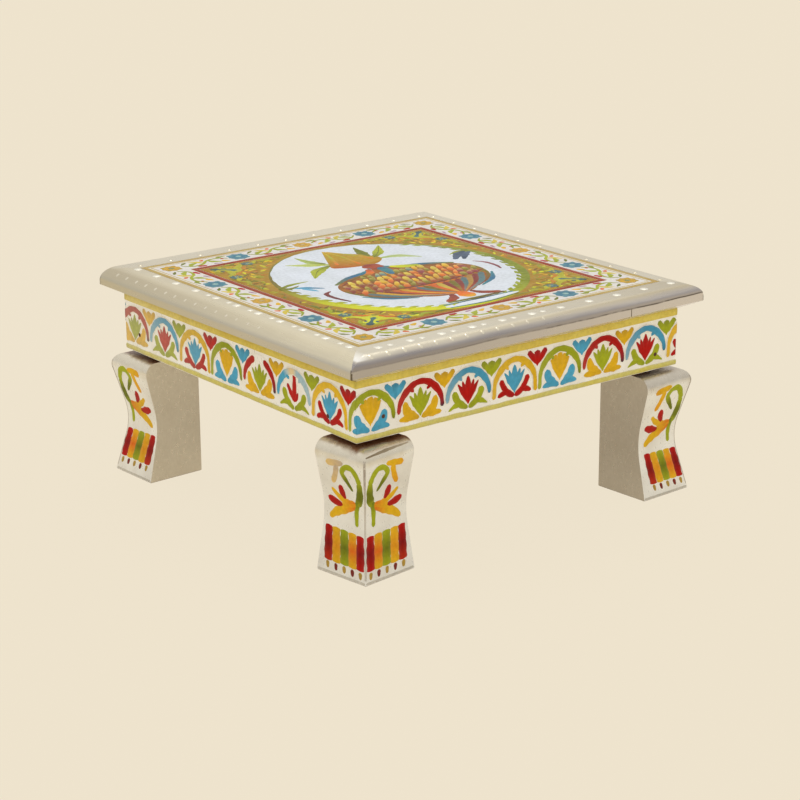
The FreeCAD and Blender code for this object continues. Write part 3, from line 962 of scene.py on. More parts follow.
DAB_WIDTHS = [1.9, 1.2]
LEG_PAINT_TOP = 80.4
# The sheath's closed edge along the ridge, the hem folded up round the foot, and a darker line along the
# knee's fold
SEAM_INKS = [linear(158, 146, 132), linear(196, 188, 174), linear(186, 178, 166)]
RIDGE_SEAM = ([(0.6, 84.5), (0.5, 60), (0.5, 34), (0.5, 3)], [0.6, 0.45, 0.35, 0.45], SEAM_INKS)
FOOT_HEM = ([(0.4, 1.3), (20, 1.3), (44.2, 1.3)], [0.9, 0.8, 0.9], [linear(204, 198, 184)])
FOLD_LINE_INKS = [linear(132, 116, 90), linear(178, 164, 140)]
KNEE_FOLD_LINE = ([(1, 85.6), (18, 86.4), (40, 86.8)], [0.4, 0.9, 0.3], FOLD_LINE_INKS)
FOLD_LINE_FACE = ("front_left", True)
# How much higher than on the near leg the flower and stripes were painted on two others
PAINT_LIFT = {"back_left": 3.2, "front_right": 1.4}
# How much narrower the flowers are than drawn above, and one leg's stripes
FLOWER_SPREAD = 0.91
STRIPE_SPREAD = {"front_right": 0.91}

CORNERS = ("back_right", "back_left", "front_left", "front_right")
# The face whose flower has faded at its tip, and the inks there
FADED_FLOWER = ("front_left", False)
FADED_TIP = [linear(188, 168, 146), mixed(AMBER, CREAM, 0.3)]


def paint_leg_face(corner, quarter, second, enamel):
    """The painted flower, stripes and dabs on one curved face."""
    paint = Paint(LegFace(corner, quarter, second), 31 + 2 * quarter + second)
    lift = PAINT_LIFT.get(corner, 0.0)
    stripe_spread = STRIPE_SPREAD.get(corner, 1.0)

    def draw(line, widths, inks, spread, **brush):
        line = [(u * spread, min(v + lift, LEG_PAINT_TOP)) for u, v in line]
        paint.stroke(line, [w * spread for w in widths], inks, **brush)

    for number, (line, widths, inks) in enumerate(LEG_FLOWER):
        faded = (corner, second) == FADED_FLOWER and number < 2
        draw(line, widths, FADED_TIP if faded else inks, FLOWER_SPREAD, crown=0.12)
    for line, widths, inks in LEG_STRIPES:
        draw(line, widths, inks, stripe_spread, crown=0.14, end=0.25, step=0.4)
    for place, top, ink in LEG_DABS:
        line = [(place, top), (place, top - DAB_LENGTH)]
        draw(line, DAB_WIDTHS, [ink], stripe_spread, crown=0.1, step=0.4)
    marks = [RIDGE_SEAM, FOOT_HEM] + ([KNEE_FOLD_LINE] if (corner, second) == FOLD_LINE_FACE else [])
    paint.strokes(marks, crown=0.04)
    side = "_second" if second else "_first"
    paint.build("leg_enamel_" + corner + side, enamel, "painted_panel")


# The top panel: half-widths of its square bands, and the medallion
BAND_OUT = 124.8
BAND_IN = 105.0
FIELD_HALF = 100.6
DISC_HALF = (85.5, 94.0)
DISC_MIDDLE = (0.0, 1.5)
# The flat coats from the edge inward: outer and inner half-widths, height, two tones with the size and
# seed of their drift, and rows of points
GROUND_COATS = (
    (130.9, 127.0, 0.12, (linear(176, 143, 74), linear(192, 171, 108), 10, 1), 2),
    (127.0, 125.8, 0.04, (WHITE, CREAM, 12, 3), 2),
    (125.8, BAND_OUT, 0.1, (GOLD_BROWN, linear(206, 186, 128), 10, 8), 2),
    (BAND_OUT, BAND_IN, 0.05, (WHITE, linear(214, 206, 202), 12, 3), 5),
    (BAND_IN, FIELD_HALF, 0.12, (RUST, linear(138, 54, 28), 14, 4), 2),
    (FIELD_HALF, 0.0, 0.05, (FIELD_OLIVE, linear(150, 108, 28), 13, 5), 24),
)
LOOP_SIDE = 60
LOOP_COUNT = 4 * LOOP_SIDE


def square_loop(half):
    """Places round a square, with one at each corner."""
    side = [(-half + 2 * half * i / LOOP_SIDE, -half) for i in range(LOOP_SIDE)]
    return [quarter_turned(u, v, quarter) for quarter in range(4) for u, v in side]


def round_loop(grow, ragged=0.0):
    """Places round the medallion's disc, started like the square loop, with an unsteady edge.
    The loop is larger than the disc by what a function gives for each direction."""
    loop = []
    for i in range(LOOP_COUNT):
        turn = -3 * math.pi / 4 + 2 * math.pi * i / LOOP_COUNT
        wave = 1 + ragged * noise.noise(Vector((math.cos(turn) * 9, math.sin(turn) * 9, 3)))
        u = (DISC_HALF[0] + grow(turn)) * wave * math.cos(turn) + DISC_MIDDLE[0]
        v = (DISC_HALF[1] + grow(turn)) * wave * math.sin(turn) + DISC_MIDDLE[1]
        loop.append((u, min(v, FIELD_HALF - 0.5)))
    return loop


def ring_width(turn):
    """The ring is widest at its near left, narrower on the right, and runs out towards the back."""
    near = max(0, math.cos(turn - math.radians(228)))
    right = max(0, math.cos(turn + math.radians(25)))
    return 0.8 + 8.6 * near**1.5 + 6.0 * right**1.5


def ring_tone(u, v):
    """The ring runs from olive green to bright yellow at its near left."""
    turn = math.atan2(v, u)
    near = max(0, math.cos(turn + math.radians(125))) ** 2
    left = max(0, math.cos(turn - math.radians(165))) ** 3
    green = cloudy(linear(112, 122, 28), linear(146, 156, 40), 14, 2)(u, v)
    return mixed(mixed(green, linear(112, 84, 40), 0.8 * left), linear(212, 214, 26), near)


def paint_grounds(enamel):
    """The flat coats: lines, white band, olive field, ring and white disc."""
    paint = Paint(FlatTop(), 3)
    for outer, inner, height, tones, rows in GROUND_COATS:
        paint.coat(square_loop(outer), square_loop(inner), height, cloudy(*tones), rows)
    paint.level = 0.05
    paint.coat(round_loop(ring_width), round_loop(lambda turn: -3), 0.1, ring_tone, 5)
    disc = cloudy(DISC_WHITE, linear(206, 212, 218), 16, 6)
    paint.coat(round_loop(lambda turn: 0, 0.012), square_loop(0), 0.15, disc, 22)
    paint.build("panel_ground", enamel, "painted_panel")


PETALS = 8


def flower(paint, u, v, petal, heart, size):
    """A small round flower: broad petals over a dark round ground, and a light heart."""
    ground = cloudy(mixed(petal, NAVY, 0.35), mixed(petal, heart, 0.6), 3)
    paint.blob(circle(u, v, size * 0.8, 12), ground, crown=0.08, step=1.4)
    widths = [size * 0.12, size * 0.25, size * 0.14]
    for i in range(PETALS):
        reach, share = (0.94, 0.5) if i % 2 else (0.86, 0.2)
        line = [(size * 0.25, 0), (size * 0.6, 0.2), (size * reach, 0)]
        line = shifted(line, u, v, 2 * math.pi * i / PETALS)
        inks = [petal, mixed(petal, heart, share)]
        paint.stroke(line, widths, inks, level=paint.level + 0.09, crown=0.08)
    light = cloudy(heart, mixed(heart, CREAM, 0.4), 2)
    paint.blob(circle(u, v, size * 0.24, 8), light, crown=0.26, step=0.8)


# One quarter of the border between two corner flowers, along one side's white band
BAND_MIDDLE = (BAND_OUT + BAND_IN) / 2
BORDER_GOLD = linear(206, 160, 44)
BORDER_BLUE = linear(66, 118, 142)
VINE_GREEN = mixed(OLIVE, LIME, 0.5)
VINE = [(9, 1.5), (16, -4.5), (25, -3.0), (32, 3.6), (41, 5.4), (49, 0.6)]
VINE_WIDTHS = [0.6, 1.2, 1.1, 0.8]
VINE_LEAVES = (
    ([(14, -3.5), (18, 1.0), (24, 3.0)], [0.7, 2.3, 0.4], LIME),
    ([(27, -1.5), (24, 4.0), (18.5, 7.4)], [0.7, 2.2, 0.4], YELLOW),
    ([(33, 3.8), (35, -1.0), (40.5, -5.0)], [0.7, 2.4, 0.4], LIME),
    ([(41, 5.2), (45, 7.2), (50.5, 7.0)], [0.6, 1.8, 0.3], VINE_GREEN),
    ([(10, 3.0), (14, 6.2), (17, 8.0)], [0.5, 1.4, 0.3], OLIVE),
)
VINE_BUDS = (
    ([(18.5, -6.6), (25.5, -8.0)], [2.3, 1.0], RED),
    ([(28.0, 4.4), (31.0, 8.2)], [2.2, 0.8], ORANGE),
    ([(41, -2.6), (47.0, -5.8)], [2.4, 0.8], AMBER),
    ([(32, -6.6), (39, -8.4)], [1.3, 0.6], MAUVE),
    ([(43, 1.8), (46.5, 2.6)], [1.3, 0.7], RED),
)


def on_band(points, quarter, side, start):
    """Points of the border's drawing on one side's band, mirrored by the side and moved to a start."""
    return [quarter_turned(side * (start - u), -BAND_MIDDLE - v, quarter) for u, v in points]


def paint_border(enamel):
    """Vines and flowers on the white band, the same on each side and mirrored about its middle."""
    paint = Paint(FlatTop(), 8, level=0.07)
    half_span = BAND_MIDDLE / 2
    for quarter in range(4):
        for side in (-1, 1):
            for start in (BAND_MIDDLE, half_span):
                vine = on_band(VINE, quarter, side, start)
                paint.stroke(vine, VINE_WIDTHS, [VINE_GREEN, LIME, VINE_GREEN])
                for line, widths, ink in VINE_LEAVES + VINE_BUDS:
                    inks = [mixed(ink, NAVY, 0.12), ink]
                    paint.stroke(on_band(line, quarter, side, start), widths, inks)
            spot = quarter_turned(side * half_span, -BAND_MIDDLE, quarter)
            flower(paint, *spot, BORDER_BLUE, linear(112, 168, 168), 9.6)
        for place, heart, size in ((0, GOLD_BROWN, 8.4), (BAND_MIDDLE, OLIVE, 8.6)):
            spot = quarter_turned(place, -BAND_MIDDLE, quarter)
            flower(paint, *spot, BORDER_GOLD, heart, size)
    paint.build("panel_border", enamel, "painted_panel")


# Scrolls in one corner of the field, in the corner's own directions from its inner angle
CORNER_SCROLLS = (
    ([(4, 32), (11, 27), (14, 18), (9, 12), (4, 15)], [0.8, 2.2, 2.4, 1.8, 0.6], LEMON),
    ([(3, 46), (8, 40), (9, 32)], [0.8, 2.6, 0.8], LEMON),
    ([(14, 25), (20, 21), (23, 14)], [0.8, 2.4, 0.8], LEMON),
    ([(4, 60), (7, 52), (3, 46)], [0.6, 2.1, 0.6], LIME),
    ([(3, 74), (5, 66), (4, 58)], [0.5, 1.7, 0.6], OLIVE),
    ([(12, 34), (15, 28), (22, 25)], [0.6, 1.8, 0.6], ORANGE),
    ([(8, 6), (14, 5), (20, 8)], [0.6, 1.8, 0.5], LIME),
    ([(5, 37), (10, 46), (6, 54)], [0.5, 1.4, 0.5], OLIVE),
)
CORNER_FLOWER = (8, 36)
CORNER_LEAF = ([(5.5, 5.5), (12, 12), (21, 21)], [1.8, 4.8, 1.0], [linear(56, 84, 84), linear(80, 120, 112)])
FIELD_INKS = (
    *(LEMON, LIME, OLIVE, OLIVE, AMBER, linear(190, 120, 40)),
    *(linear(120, 84, 24), linear(146, 140, 40), linear(150, 110, 30)),
)
FIELD_STREAKS = 620
# The duller tone of all corners but the near one, and its share
FIELD_DULL = linear(172, 150, 44)
DULL_SHARE = 0.45
NEAR_CORNER = (-1, -1)


def free_of_disc(u, v, room):
    """Whether a place lies outside the disc and its ring by some room."""
    du, dv = u - DISC_MIDDLE[0], v - DISC_MIDDLE[1]
    turn = math.atan2(dv, du)
    edge = ring_width(turn) + room
    return (du / (DISC_HALF[0] + edge)) ** 2 + (dv / (DISC_HALF[1] + edge)) ** 2 > 1


def draw_streaks(paint):
    """Short flicks of the brush that fill the field between the scrolls."""
    vary = paint.random.uniform
    limit = FIELD_HALF - 1.5
    drawn = 0
    while drawn < FIELD_STREAKS:
        u, v = vary(-limit, limit), vary(-limit, limit)
        turn = math.atan2(v, u) + vary(-1.3, 1.3)
        reach = vary(2.2, 4.2)
        start, end = ((u + r * math.cos(turn), v + r * math.sin(turn)) for r in (-reach, reach))
        inside = max(abs(place) for place in (*start, *end)) < limit
        if not inside or not free_of_disc(*start, 1.0) or not free_of_disc(*end, 1.0):
            continue
        ink = paint.random.choice(FIELD_INKS)
        bend = vary(-0.8, 0.8)
        middle = (u - bend * math.sin(turn), v + bend * math.cos(turn))
        widths = [0.3, vary(0.8, 1.4), 0.2]
        paint.stroke([start, middle, end], widths, [ink], crown=0.1, step=1.6)
        drawn += 1


TEETH = 36
TEETH_FROM, TEETH_TO = math.radians(-188), math.radians(44)


def draw_teeth(paint):
    """The ring's leafy edge, which bites into the disc at the near side and on the right."""
    paint.level = 0.14
    for i in range(TEETH + 1):
        turn = TEETH_FROM + (TEETH_TO - TEETH_FROM) * (i + paint.random.uniform(-0.25, 0.25)) / TEETH
        c, s = math.cos(turn), math.sin(turn)
        line = []
        for share, slide in ((1.03, -3.0), (0.985, 0.6), (0.965, 5.2)):
            u = DISC_HALF[0] * share * c - slide * s + DISC_MIDDLE[0]
            line.append((u, DISC_HALF[1] * share * s + slide * c + DISC_MIDDLE[1]))
        size = paint.random.uniform(0.8, 1.2)
        inks = [ring_tone(*line[0]), mixed(OLIVE, LIME, paint.random.random())]
        paint.stroke(line, [1.4 * size, 2.1 * size, 0.4], inks)


def in_corner(points, corner, swap=False):
    """Points measured from the inner angle of a field's corner, or their mirror image there."""
    if swap:
        points = [(v, u) for u, v in points]
    return [(corner[0] * (FIELD_HALF - u), corner[1] * (FIELD_HALF - v)) for u, v in points]


def paint_field(enamel):
    """Flicks, scrolls and grey-blue flowers in the four corners round the medallion, and its leafy edge."""
    paint = Paint(FlatTop(), 21, level=0.05)
    draw_streaks(paint)
    paint.level = 0.1
    for corner in SQUARE:
        dull = 0.0 if corner == NEAR_CORNER else DULL_SHARE
        for line, widths, ink in CORNER_SCROLLS:
            ink = mixed(ink, FIELD_DULL, dull)
            for swap in (False, True):
                inks = [mixed(ink, OLIVE, 0.35), ink]
                paint.stroke(in_corner(line, corner, swap), widths, inks)
        line, widths, inks = CORNER_LEAF
        paint.stroke(in_corner(line, corner), widths, inks)
        for swap in (False, True):
            spot = in_corner([CORNER_FLOWER], corner, swap)[0]
            flower(paint, *spot, linear(88, 108, 104), TEAL, 5.4)
    draw_teeth(paint)
    paint.build("panel_field", enamel, "painted_panel")


# The pot with its coconut and leaves, drawn in the middle of the white disc
COCONUT = [(-2, 88), (6, 75), (16, 63), (22, 48), (16, 39), (6, 34)]
COCONUT += [(-8, 35), (-18, 38), (-25, 43), (-18, 58), (-9, 75)]
MANGO_LEAVES = (
    ([(-20, 52), (-33, 60), (-47, 70)], [1.2, 4.4, 0.4], linear(186, 198, 110), LIME),
    ([(-21, 56), (-27, 66), (-29, 84)], [1.2, 4.2, 0.4], linear(166, 182, 92), OLIVE),
    ([(-22, 50), (-38, 42), (-52, 26)], [1.4, 5.4, 0.4], LIME, OLIVE),
    ([(17, 54), (19, 66), (24, 84)], [1.4, 4.4, 0.4], OLIVE, OLIVE),
    ([(18, 50), (30, 61), (43, 78)], [1.4, 4.6, 0.4], LIME, OLIVE),
    ([(20, 46), (35, 43), (47, 30)], [1.2, 4.2, 0.4], linear(180, 194, 130), linear(160, 180, 96)),
)
POT_SIDE = [(5, 24), (14, 17), (34, 11), (53, 0), (60, -16), (56, -34), (44, -49), (26, -60), (12, -68)]
POT_MIDDLE = 1.0
# The rows of petals: height and half-width of the pot there, and how far apart the petals stand
POT_ROWS = ((9, 30), (0, 46), (-9, 55), (-18, 57), (-26, 53))
PETAL_PITCH = 6.2
PLUM = linear(138, 48, 76)
PALE_TIP = linear(242, 226, 120)
POT_ROW_INKS = (
    (OLIVE, YELLOW, AMBER, TEAL, YELLOW),
    (AMBER, YELLOW, ORANGE, OLIVE, YELLOW, PLUM),
    (ORANGE, AMBER, MAROON, YELLOW, ORANGE, PLUM),
    (MAROON, ORANGE, AMBER, PLUM, OLIVE, YELLOW),
    (MAROON, RUST, ORANGE, OLIVE, PLUM),
)
FAN = (
    *(TEAL, AMBER, MAROON, ORANGE, AMBER, RUST, TEAL, OLIVE),
    *(ORANGE, YELLOW, MAROON, OLIVE, MAROON, TEAL, GOLD_BROWN, MAROON, TEAL),
)
# The pot's ground drifts between two browns
POT_TONE = cloudy(linear(176, 112, 26), linear(124, 70, 26), 9, 7)
# Lines along the pot's sides: which of its points, how far outward and up from them, half-widths and inks
POT_EDGES = (
    (0, 4, 0.0, 1.5, [1.2, 2.4, 2.4, 1.2], [TEAL, DEEP_BLUE, OLIVE]),
    (1, 4, -3.0, -2.5, [0.8, 1.5, 0.8], [OLIVE, MAROON]),
    (5, 8, 1.5, -1.0, [0.8, 2.2, 0.8], [TEAL, DEEP_BLUE, TEAL]),
    (4, 8, -2.0, 0.0, [0.8, 1.5, 1.0], [OLIVE, MAROON]),
)


def draw_pot_body(paint):
    left, right = ([(POT_MIDDLE + side * u, v) for u, v in POT_SIDE] for side in (-1, 1))
    paint.blob([*left, *right[::-1]], POT_TONE, crown=0.06, step=2.5)
    for line, side in ((left, -1), (right, 1)):
        for first, last, out, up, widths, inks in POT_EDGES:
            points = [(u + out * side, v + up) for u, v in line[first:last]]
            paint.stroke(points, widths, inks)


def draw_pot_bands(paint):
    """Rows of overlapping petals over the belly, a dark line under them and a fan of long petals."""
    paint.level = 0.2
    for (v, half), row_inks in zip(POT_ROWS, POT_ROW_INKS):
        count = int(2 * half / PETAL_PITCH)
        for i in range(count + 1):
            u = POT_MIDDLE + (i / count - 0.5) * 2 * (half - 4)
            sag = 4.5 * math.cos(math.pi * (u - POT_MIDDLE) / 124)
            ink = mixed(paint.random.choice(row_inks), linear(200, 130, 30), 0.12)
            lean = paint.random.uniform(1.0, 4.5)
            rise = paint.random.uniform(-1.4, 1.4) - sag
            line = [(u + lean, v + 6.5 + rise), (u, v + rise), (u - lean, v - 7 + rise)]
            inks = [mixed(ink, PALE_TIP, 0.5), mixed(ink, MAROON, 0.05), mixed(ink, MAROON, 0.75)]
            size = paint.random.uniform(0.8, 1.3)
            paint.stroke(line, [1.3 * size, 2.3 * size, 0.5], inks, crown=0.14)
    for drop, inks in ((0, [MAROON, linear(110, 60, 24), MAROON]), (3.4, [OLIVE, ORANGE, OLIVE])):
        line = [(-54, -26 - drop), (-26, -33 - drop), (1, -35 - drop), (30, -33 - drop), (58, -26 - drop)]
        paint.stroke(line, [0.9, 1.5, 1.6, 1.5, 0.9], inks)
    for i, ink in enumerate(FAN):
        reach = (i / (len(FAN) - 1) - 0.5) * 100
        foot = POT_MIDDLE + 3 + reach * 0.12
        line = [(POT_MIDDLE + reach, -37 + abs(reach) * 0.1), (POT_MIDDLE + reach * 0.68, -51), (foot, -67)]
        inks = [mixed(ink, MAROON, 0.35), mixed(ink, MAROON, 0.2), mixed(ink, ORANGE, 0.4)]
        paint.stroke(line, [2.2, 2.9, 0.9], inks)


SAUCER = [(-28, -90), (4, -86.5), (33, -88), (35, -91), (5, -95.5), (-26, -94)]
POT_FOOT = (
    ([(-4, -67), (-9, -76), (-19, -82)], [1.8, 3.6, 2.4], [MAROON, RUST]),
    ([(12, -67), (17, -76), (28, -82)], [1.8, 3.6, 2.4], [MAROON, RUST]),
    ([(4, -63), (4, -73), (4, -81)], [2.6, 6.5, 5.0], [ORANGE, linear(236, 120, 24), AMBER]),
    ([(-20, -83.5), (5, -84.5), (30, -83.5)], [1.4, 2.0, 1.4], [OLIVE, linear(100, 70, 30)]),
    ([(-28, -87), (5, -88), (34, -87)], [0.9, 1.5, 0.9], [TEAL, NAVY, TEAL]),
    ([(-27, -94.5), (5, -96.5), (35, -92)], [0.6, 0.9, 0.6], [TEAL, OLIVE]),
)
POT_NECK = ([(-1, 36), (1, 27), (2, 18)], [10.5, 7.5, 5.0], [MAROON, RUST, MAROON])
NECK_LEAVES = (
    ([(3, 24), (2, 14), (-2, 2)], [4.2, 4.0, 2.4], [DEEP_BLUE, TEAL, DEEP_BLUE]),
    ([(-7, 24), (-12, 15), (-22, 9)], [2.2, 3.0, 1.6], [RUST, ORANGE, OLIVE]),
    ([(10, 22), (18, 16), (30, 12)], [1.6, 4.2, 2.0], [LEMON, LIME]),
)
HUSK_LINES = (
    [(-2, 87), (-8, 68), (-17, 47)],
    [(-1, 86), (0, 64), (-2, 40)],
    [(0, 85), (9, 66), (15, 47)],
)


def draw_pot_foot(paint):
    paint.level = 0.18
    paint.blob(SAUCER, lambda u, v: DISC_WHITE, crown=0.1)
    paint.strokes(POT_FOOT)


def husk_tone(u, v):
    """The coconut is golden, and redder low down on its left."""
    low = min(1, max(0, (62 - v) / 26))
    left = min(1, max(0, (6 - u) / 26))
    base = cloudy(linear(198, 160, 20), linear(158, 128, 24), 8, 9)(u, v)
    return mixed(base, linear(176, 66, 22), low * (0.25 + 0.7 * left))


def draw_pot_top(paint):
    """Neck, leaves and coconut."""
    paint.level = 0.17
    paint.stroke(*POT_NECK)
    paint.strokes(NECK_LEAVES, level=0.27)
    for line, widths, tip, heart in MANGO_LEAVES:
        paint.stroke(line, widths, [heart, tip, tip])
        paint.stroke(line, [0.3, 0.6, 0.1], [mixed(heart, NAVY, 0.2)], level=0.26)
    paint.blob(COCONUT, husk_tone, level=0.2, crown=0.12, step=2)
    for line in HUSK_LINES:
        paint.stroke(line, [0.3, 1.0, 1.4], [AMBER, LIME, ORANGE], level=0.29, crown=0.06)


# Sprays and curls beside the pot: lines, half-widths and inks
SLATE = linear(60, 74, 92)
PALE_SLATE = linear(84, 100, 124)
SIDE_SPRAYS = (
    ([(-89, 17), (-76, 22), (-60, 23)], [1.2, 2.2, 0.3], [OLIVE, LIME]),
    ([(-90, 15), (-80, 14), (-72, 17)], [0.8, 1.9, 0.3], [OLIVE, OLIVE]),
    ([(-80, 13), (-72, 9), (-62, 0)], [0.8, 2.6, 0.5], [BLUE, DEEP_BLUE]),
    ([(-76, 8), (-72, 2), (-70, -4)], [0.8, 1.8, 0.4], [BLUE]),
    ([(82, 24), (73, 20), (60, 8)], [1.4, 4.2, 1.6], [SLATE, PALE_SLATE]),
    ([(84, 21), (76, 16), (66, 5)], [1.2, 3.4, 1.2], [PALE_SLATE, SLATE]),
    ([(86, 26), (76, 26), (66, 22)], [0.8, 1.8, 0.4], [OLIVE, LIME]),
    ([(-64, -9), (-71, -14), (-72, -26), (-69, -40)], [0.8, 1.9, 1.7, 1.0], [MAROON, linear(96, 40, 44)]),
    (
        [(67, -3), (72, -12), (72, -24), (69, -33)],
        [0.5, 1.4, 1.4, 0.8],
        [linear(150, 80, 88), linear(128, 58, 62)],
    ),
)


def paint_medallion(enamel):
    paint = Paint(FlatTop(), 41, level=0.16)
    paint.strokes(SIDE_SPRAYS)
    draw_pot_body(paint)
    draw_pot_bands(paint)
    draw_pot_foot(paint)
    draw_pot_top(paint)
    paint.build("panel_kalash", enamel, "painted_panel")


# Embossing and seams of the rim


DOME_RINGS = 4
DOME_SIDES = 16


def domes(places, radius, height):
    """Smooth low caps on flat or sloping metal: each place is a foot point and an outward direction."""
    points, faces = [], []
    ball = (radius**2 + height**2) / (2 * height)
    for foot, outward in places:
        side = outward.orthogonal().normalized()
        other = outward.cross(side)
        start = len(points)
        for ring in range(DOME_RINGS):
            r = radius * (1 - ring / DOME_RINGS)
            lift = math.sqrt(ball**2 - r**2) - (ball - height)
            for x, y in circle(0, 0, r, DOME_SIDES):
                points.append((foot + side * x + other * y + outward * lift) * MM)
        points.append((foot + outward * height) * MM)
        tip = start + DOME_RINGS * DOME_SIDES
        for low in range(start, tip, DOME_SIDES):
            high = low + DOME_SIDES
            for k in range(DOME_SIDES):
                after = (k + 1) % DOME_SIDES
                upper = (tip,) if high == tip else (high + after, high + k)
                faces.append((low + k, low + after, *upper))
    return points, faces


# Each kind of boss: its radius, and its height over its foot
BOSS = (3.0, 0.5)
WEAK_BOSS = (2.2, 0.36)
SMALL_BOSS = (2.2, 0.58)
FAINT_BOSS = (1.9, 0.25)
BOARD_FLAT = TABLE_TOP - BOSS[1]
TIP_ROOM = 0.02
# How deep the feet of the bosses on the rolled edge lie, and how much deeper by the end of a side. They are
# left out where less than this much of them would show, on the front and back from about half way
FRONT_SINK = (0.34, 0.36)
SIDE_SINK = (0.16, 0.07)
BOSS_LEFT = 0.04
# The sides whose bosses are painted paler as a highlight, how far after each and how deep a weak one stands,
# and where those end
HIGHLIGHT_SIDES = ("front", "left")
WEAK_BOSS_LAG = 9.6
WEAK_BOSS_SINK = 0.04
WEAK_BOSS_END = 30.0
# The bosses on the rolled edge: which point of its section they stand on, their pitch and how it varies, and
# the room that they leave at the ends
OUTER_ROW = 3
OUTER_PITCH = 12.8
OUTER_SWAY = 1.1
OUTER_ROOM = 10.0

# The rim's edge in section: how far the roll reaches in and down, and how high the chamfer below rises
FRONT_ROLL = (6.4, 6.4)
SIDE_ROLL = (15.0, 9.4)
CHAMFER_RISE = 6.0
# The sides by their quarter turns from the right one
SIDE_TURNS = {"front": 3, "right": 0, "back": 1, "left": 2}


def roll_edge(width, height, count=9):
    """The rolled edge in section, from the flat top to the upright nose: reach, height and slope."""
    share = math.sqrt(0.5)
    tight = (share * height - (1 - share) * width) / (2 * share - 1)
    wide = (width - (1 - share) * tight) / share
    edge = []
    for i in range(count):
        turn = QUARTER * i / (count - 1)
        radius, x, z = wide, NOSE_OUT - width, BOARD_FLAT - wide
        if turn > QUARTER / 2:
            radius, x, z = tight, NOSE_OUT - tight, BOARD_FLAT - height
        edge.append((x + radius * math.sin(turn), z + radius * math.cos(turn), turn))
    return edge


def edge_spots(side, roll, sink, boss_height):
    """Places for bosses along one side's rolled edge: foot points and outward directions."""
    first, gain = sink
    reach, high, turn = roll_edge(*roll)[OUTER_ROW]
    quarter = Matrix.Rotation(SIDE_TURNS[side] * QUARTER, 3, "Z")
    outward = quarter @ Vector((math.sin(turn), 0, math.cos(turn)))
    count = int(2 * (reach - OUTER_ROOM) / OUTER_PITCH)
    spots = []
    for i in range(count + 1):
        sway = OUTER_SWAY * noise.noise(Vector((i * 3.7, reach, len(side))))
        slide = (i - count / 2) * OUTER_PITCH + sway
        depth = first + gain * i / count
        if depth < boss_height - BOSS_LEFT:
            spots.append((quarter @ Vector((reach, slide, high)) - outward * depth, outward))
    return spots


def rim_bosses(highlit_metal, plain):
    """Bosses over the frame's own on the near sides, in paler metal as a painted highlight, with a weaker one
    beside some, and a row on each rolled edge, nearly flat on the left and right."""
    up = Vector((0, 0, 1))
    strong, weak, outer, faint = [], [], [], []
    for side in SIDE_TURNS:
        lengthways = side in ("front", "back")
        if lengthways:
            outer += edge_spots(side, FRONT_ROLL, FRONT_SINK, SMALL_BOSS[1])
        else:
            faint += edge_spots(side, SIDE_ROLL, SIDE_SINK, FAINT_BOSS[1])
        if side not in HIGHLIGHT_SIDES:
            continue
        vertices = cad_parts["rim_sheet_" + side].data.vertices
        places = [tuple(length / MM for length in v.co) for v in vertices]
        tips = {(round(x, 2), round(y, 2)) for x, y, z in places if z > TABLE_TOP - TIP_ROOM}
        lag = Vector((WEAK_BOSS_LAG, 0, 0) if lengthways else (0, WEAK_BOSS_LAG, 0))
        for x, y in sorted(tips):
            foot = Vector((x, y, BOARD_FLAT))
            strong.append((foot, up))
            if (x if lengthways else y) < WEAK_BOSS_END:
                weak.append((foot + lag - up * WEAK_BOSS_SINK, up))
    for name, spots, size, metal in (
        ("rim_bosses", strong, BOSS, highlit_metal),
        ("rim_weak_bosses", weak, WEAK_BOSS, highlit_metal),
        ("rim_small_bosses", outer, SMALL_BOSS, plain),
        ("rim_faint_bosses", faint, FAINT_BOSS, plain),
    ):
        add_piece(name, *domes(spots, *size), metal, "white_metal")


# Half widths of the joints at the corners. The near one gapes
SEAM_HALVES = (0.35, 0.35, 0.9, 0.35)
SEAM_PROUD = 0.05
# Where the front sheet's lower part is cut and butted, and the half width of the cut
CUT_PLACE = 84.0
CUT_HALF = 0.3


def rim_seams(material):
    """Thin dark lines where the bent sheets meet at the corners of the nose, and one cut below the lap."""
    foot_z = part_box("rim_sheet_front")[0].z / MM
    chamfer = [(NOSE_OUT, foot_z + CHAMFER_RISE), (APRON_OUT, foot_z)]
    edge = [(reach, z) for reach, z, _ in roll_edge(*SIDE_ROLL, 13)[8:]] + chamfer
    points, faces = [], []
    for quarter, half in enumerate(SEAM_HALVES):
        turn = Matrix.Rotation(quarter * QUARTER, 3, "Z")
        start = len(points)
        for reach, z in edge:
            out = reach + SEAM_PROUD
            for x, y in ((out, out - half), (out, out), (out - half, out)):
                points.append(turn @ Vector((x, y, z)) * MM)
        for a in range(start, len(points) - 3, 3):
            faces += [(a, a + 1, a + 4, a + 3), (a + 1, a + 2, a + 5, a + 4)]
    start = len(points)
    for reach, z in [(NOSE_OUT, NOSE_REFLECTION_LOW / MM), *chamfer]:
        for slide in (-CUT_HALF, CUT_HALF):
            points.append(Vector((CUT_PLACE + slide, -reach - SEAM_PROUD, z)) * MM)
    faces += [(start, start + 1, start + 3, start + 2), (start + 2, start + 3, start + 5, start + 4)]
    add_piece("rim_seams", points, faces, material, "white_metal")


# Camera, measured from the photograph: degrees and millimetres
CAMERA_AZIMUTH = -37.49
CAMERA_ELEVATION = 17.54
CAMERA_ROLL = -0.38
CAMERA_DISTANCE = 1585.1
CAMERA_TARGET = (0, 0, 59.36)
CAMERA_LENS = 99.09
CAMERA_SENSOR = 36
CAMERA_SHIFT = 0.00355


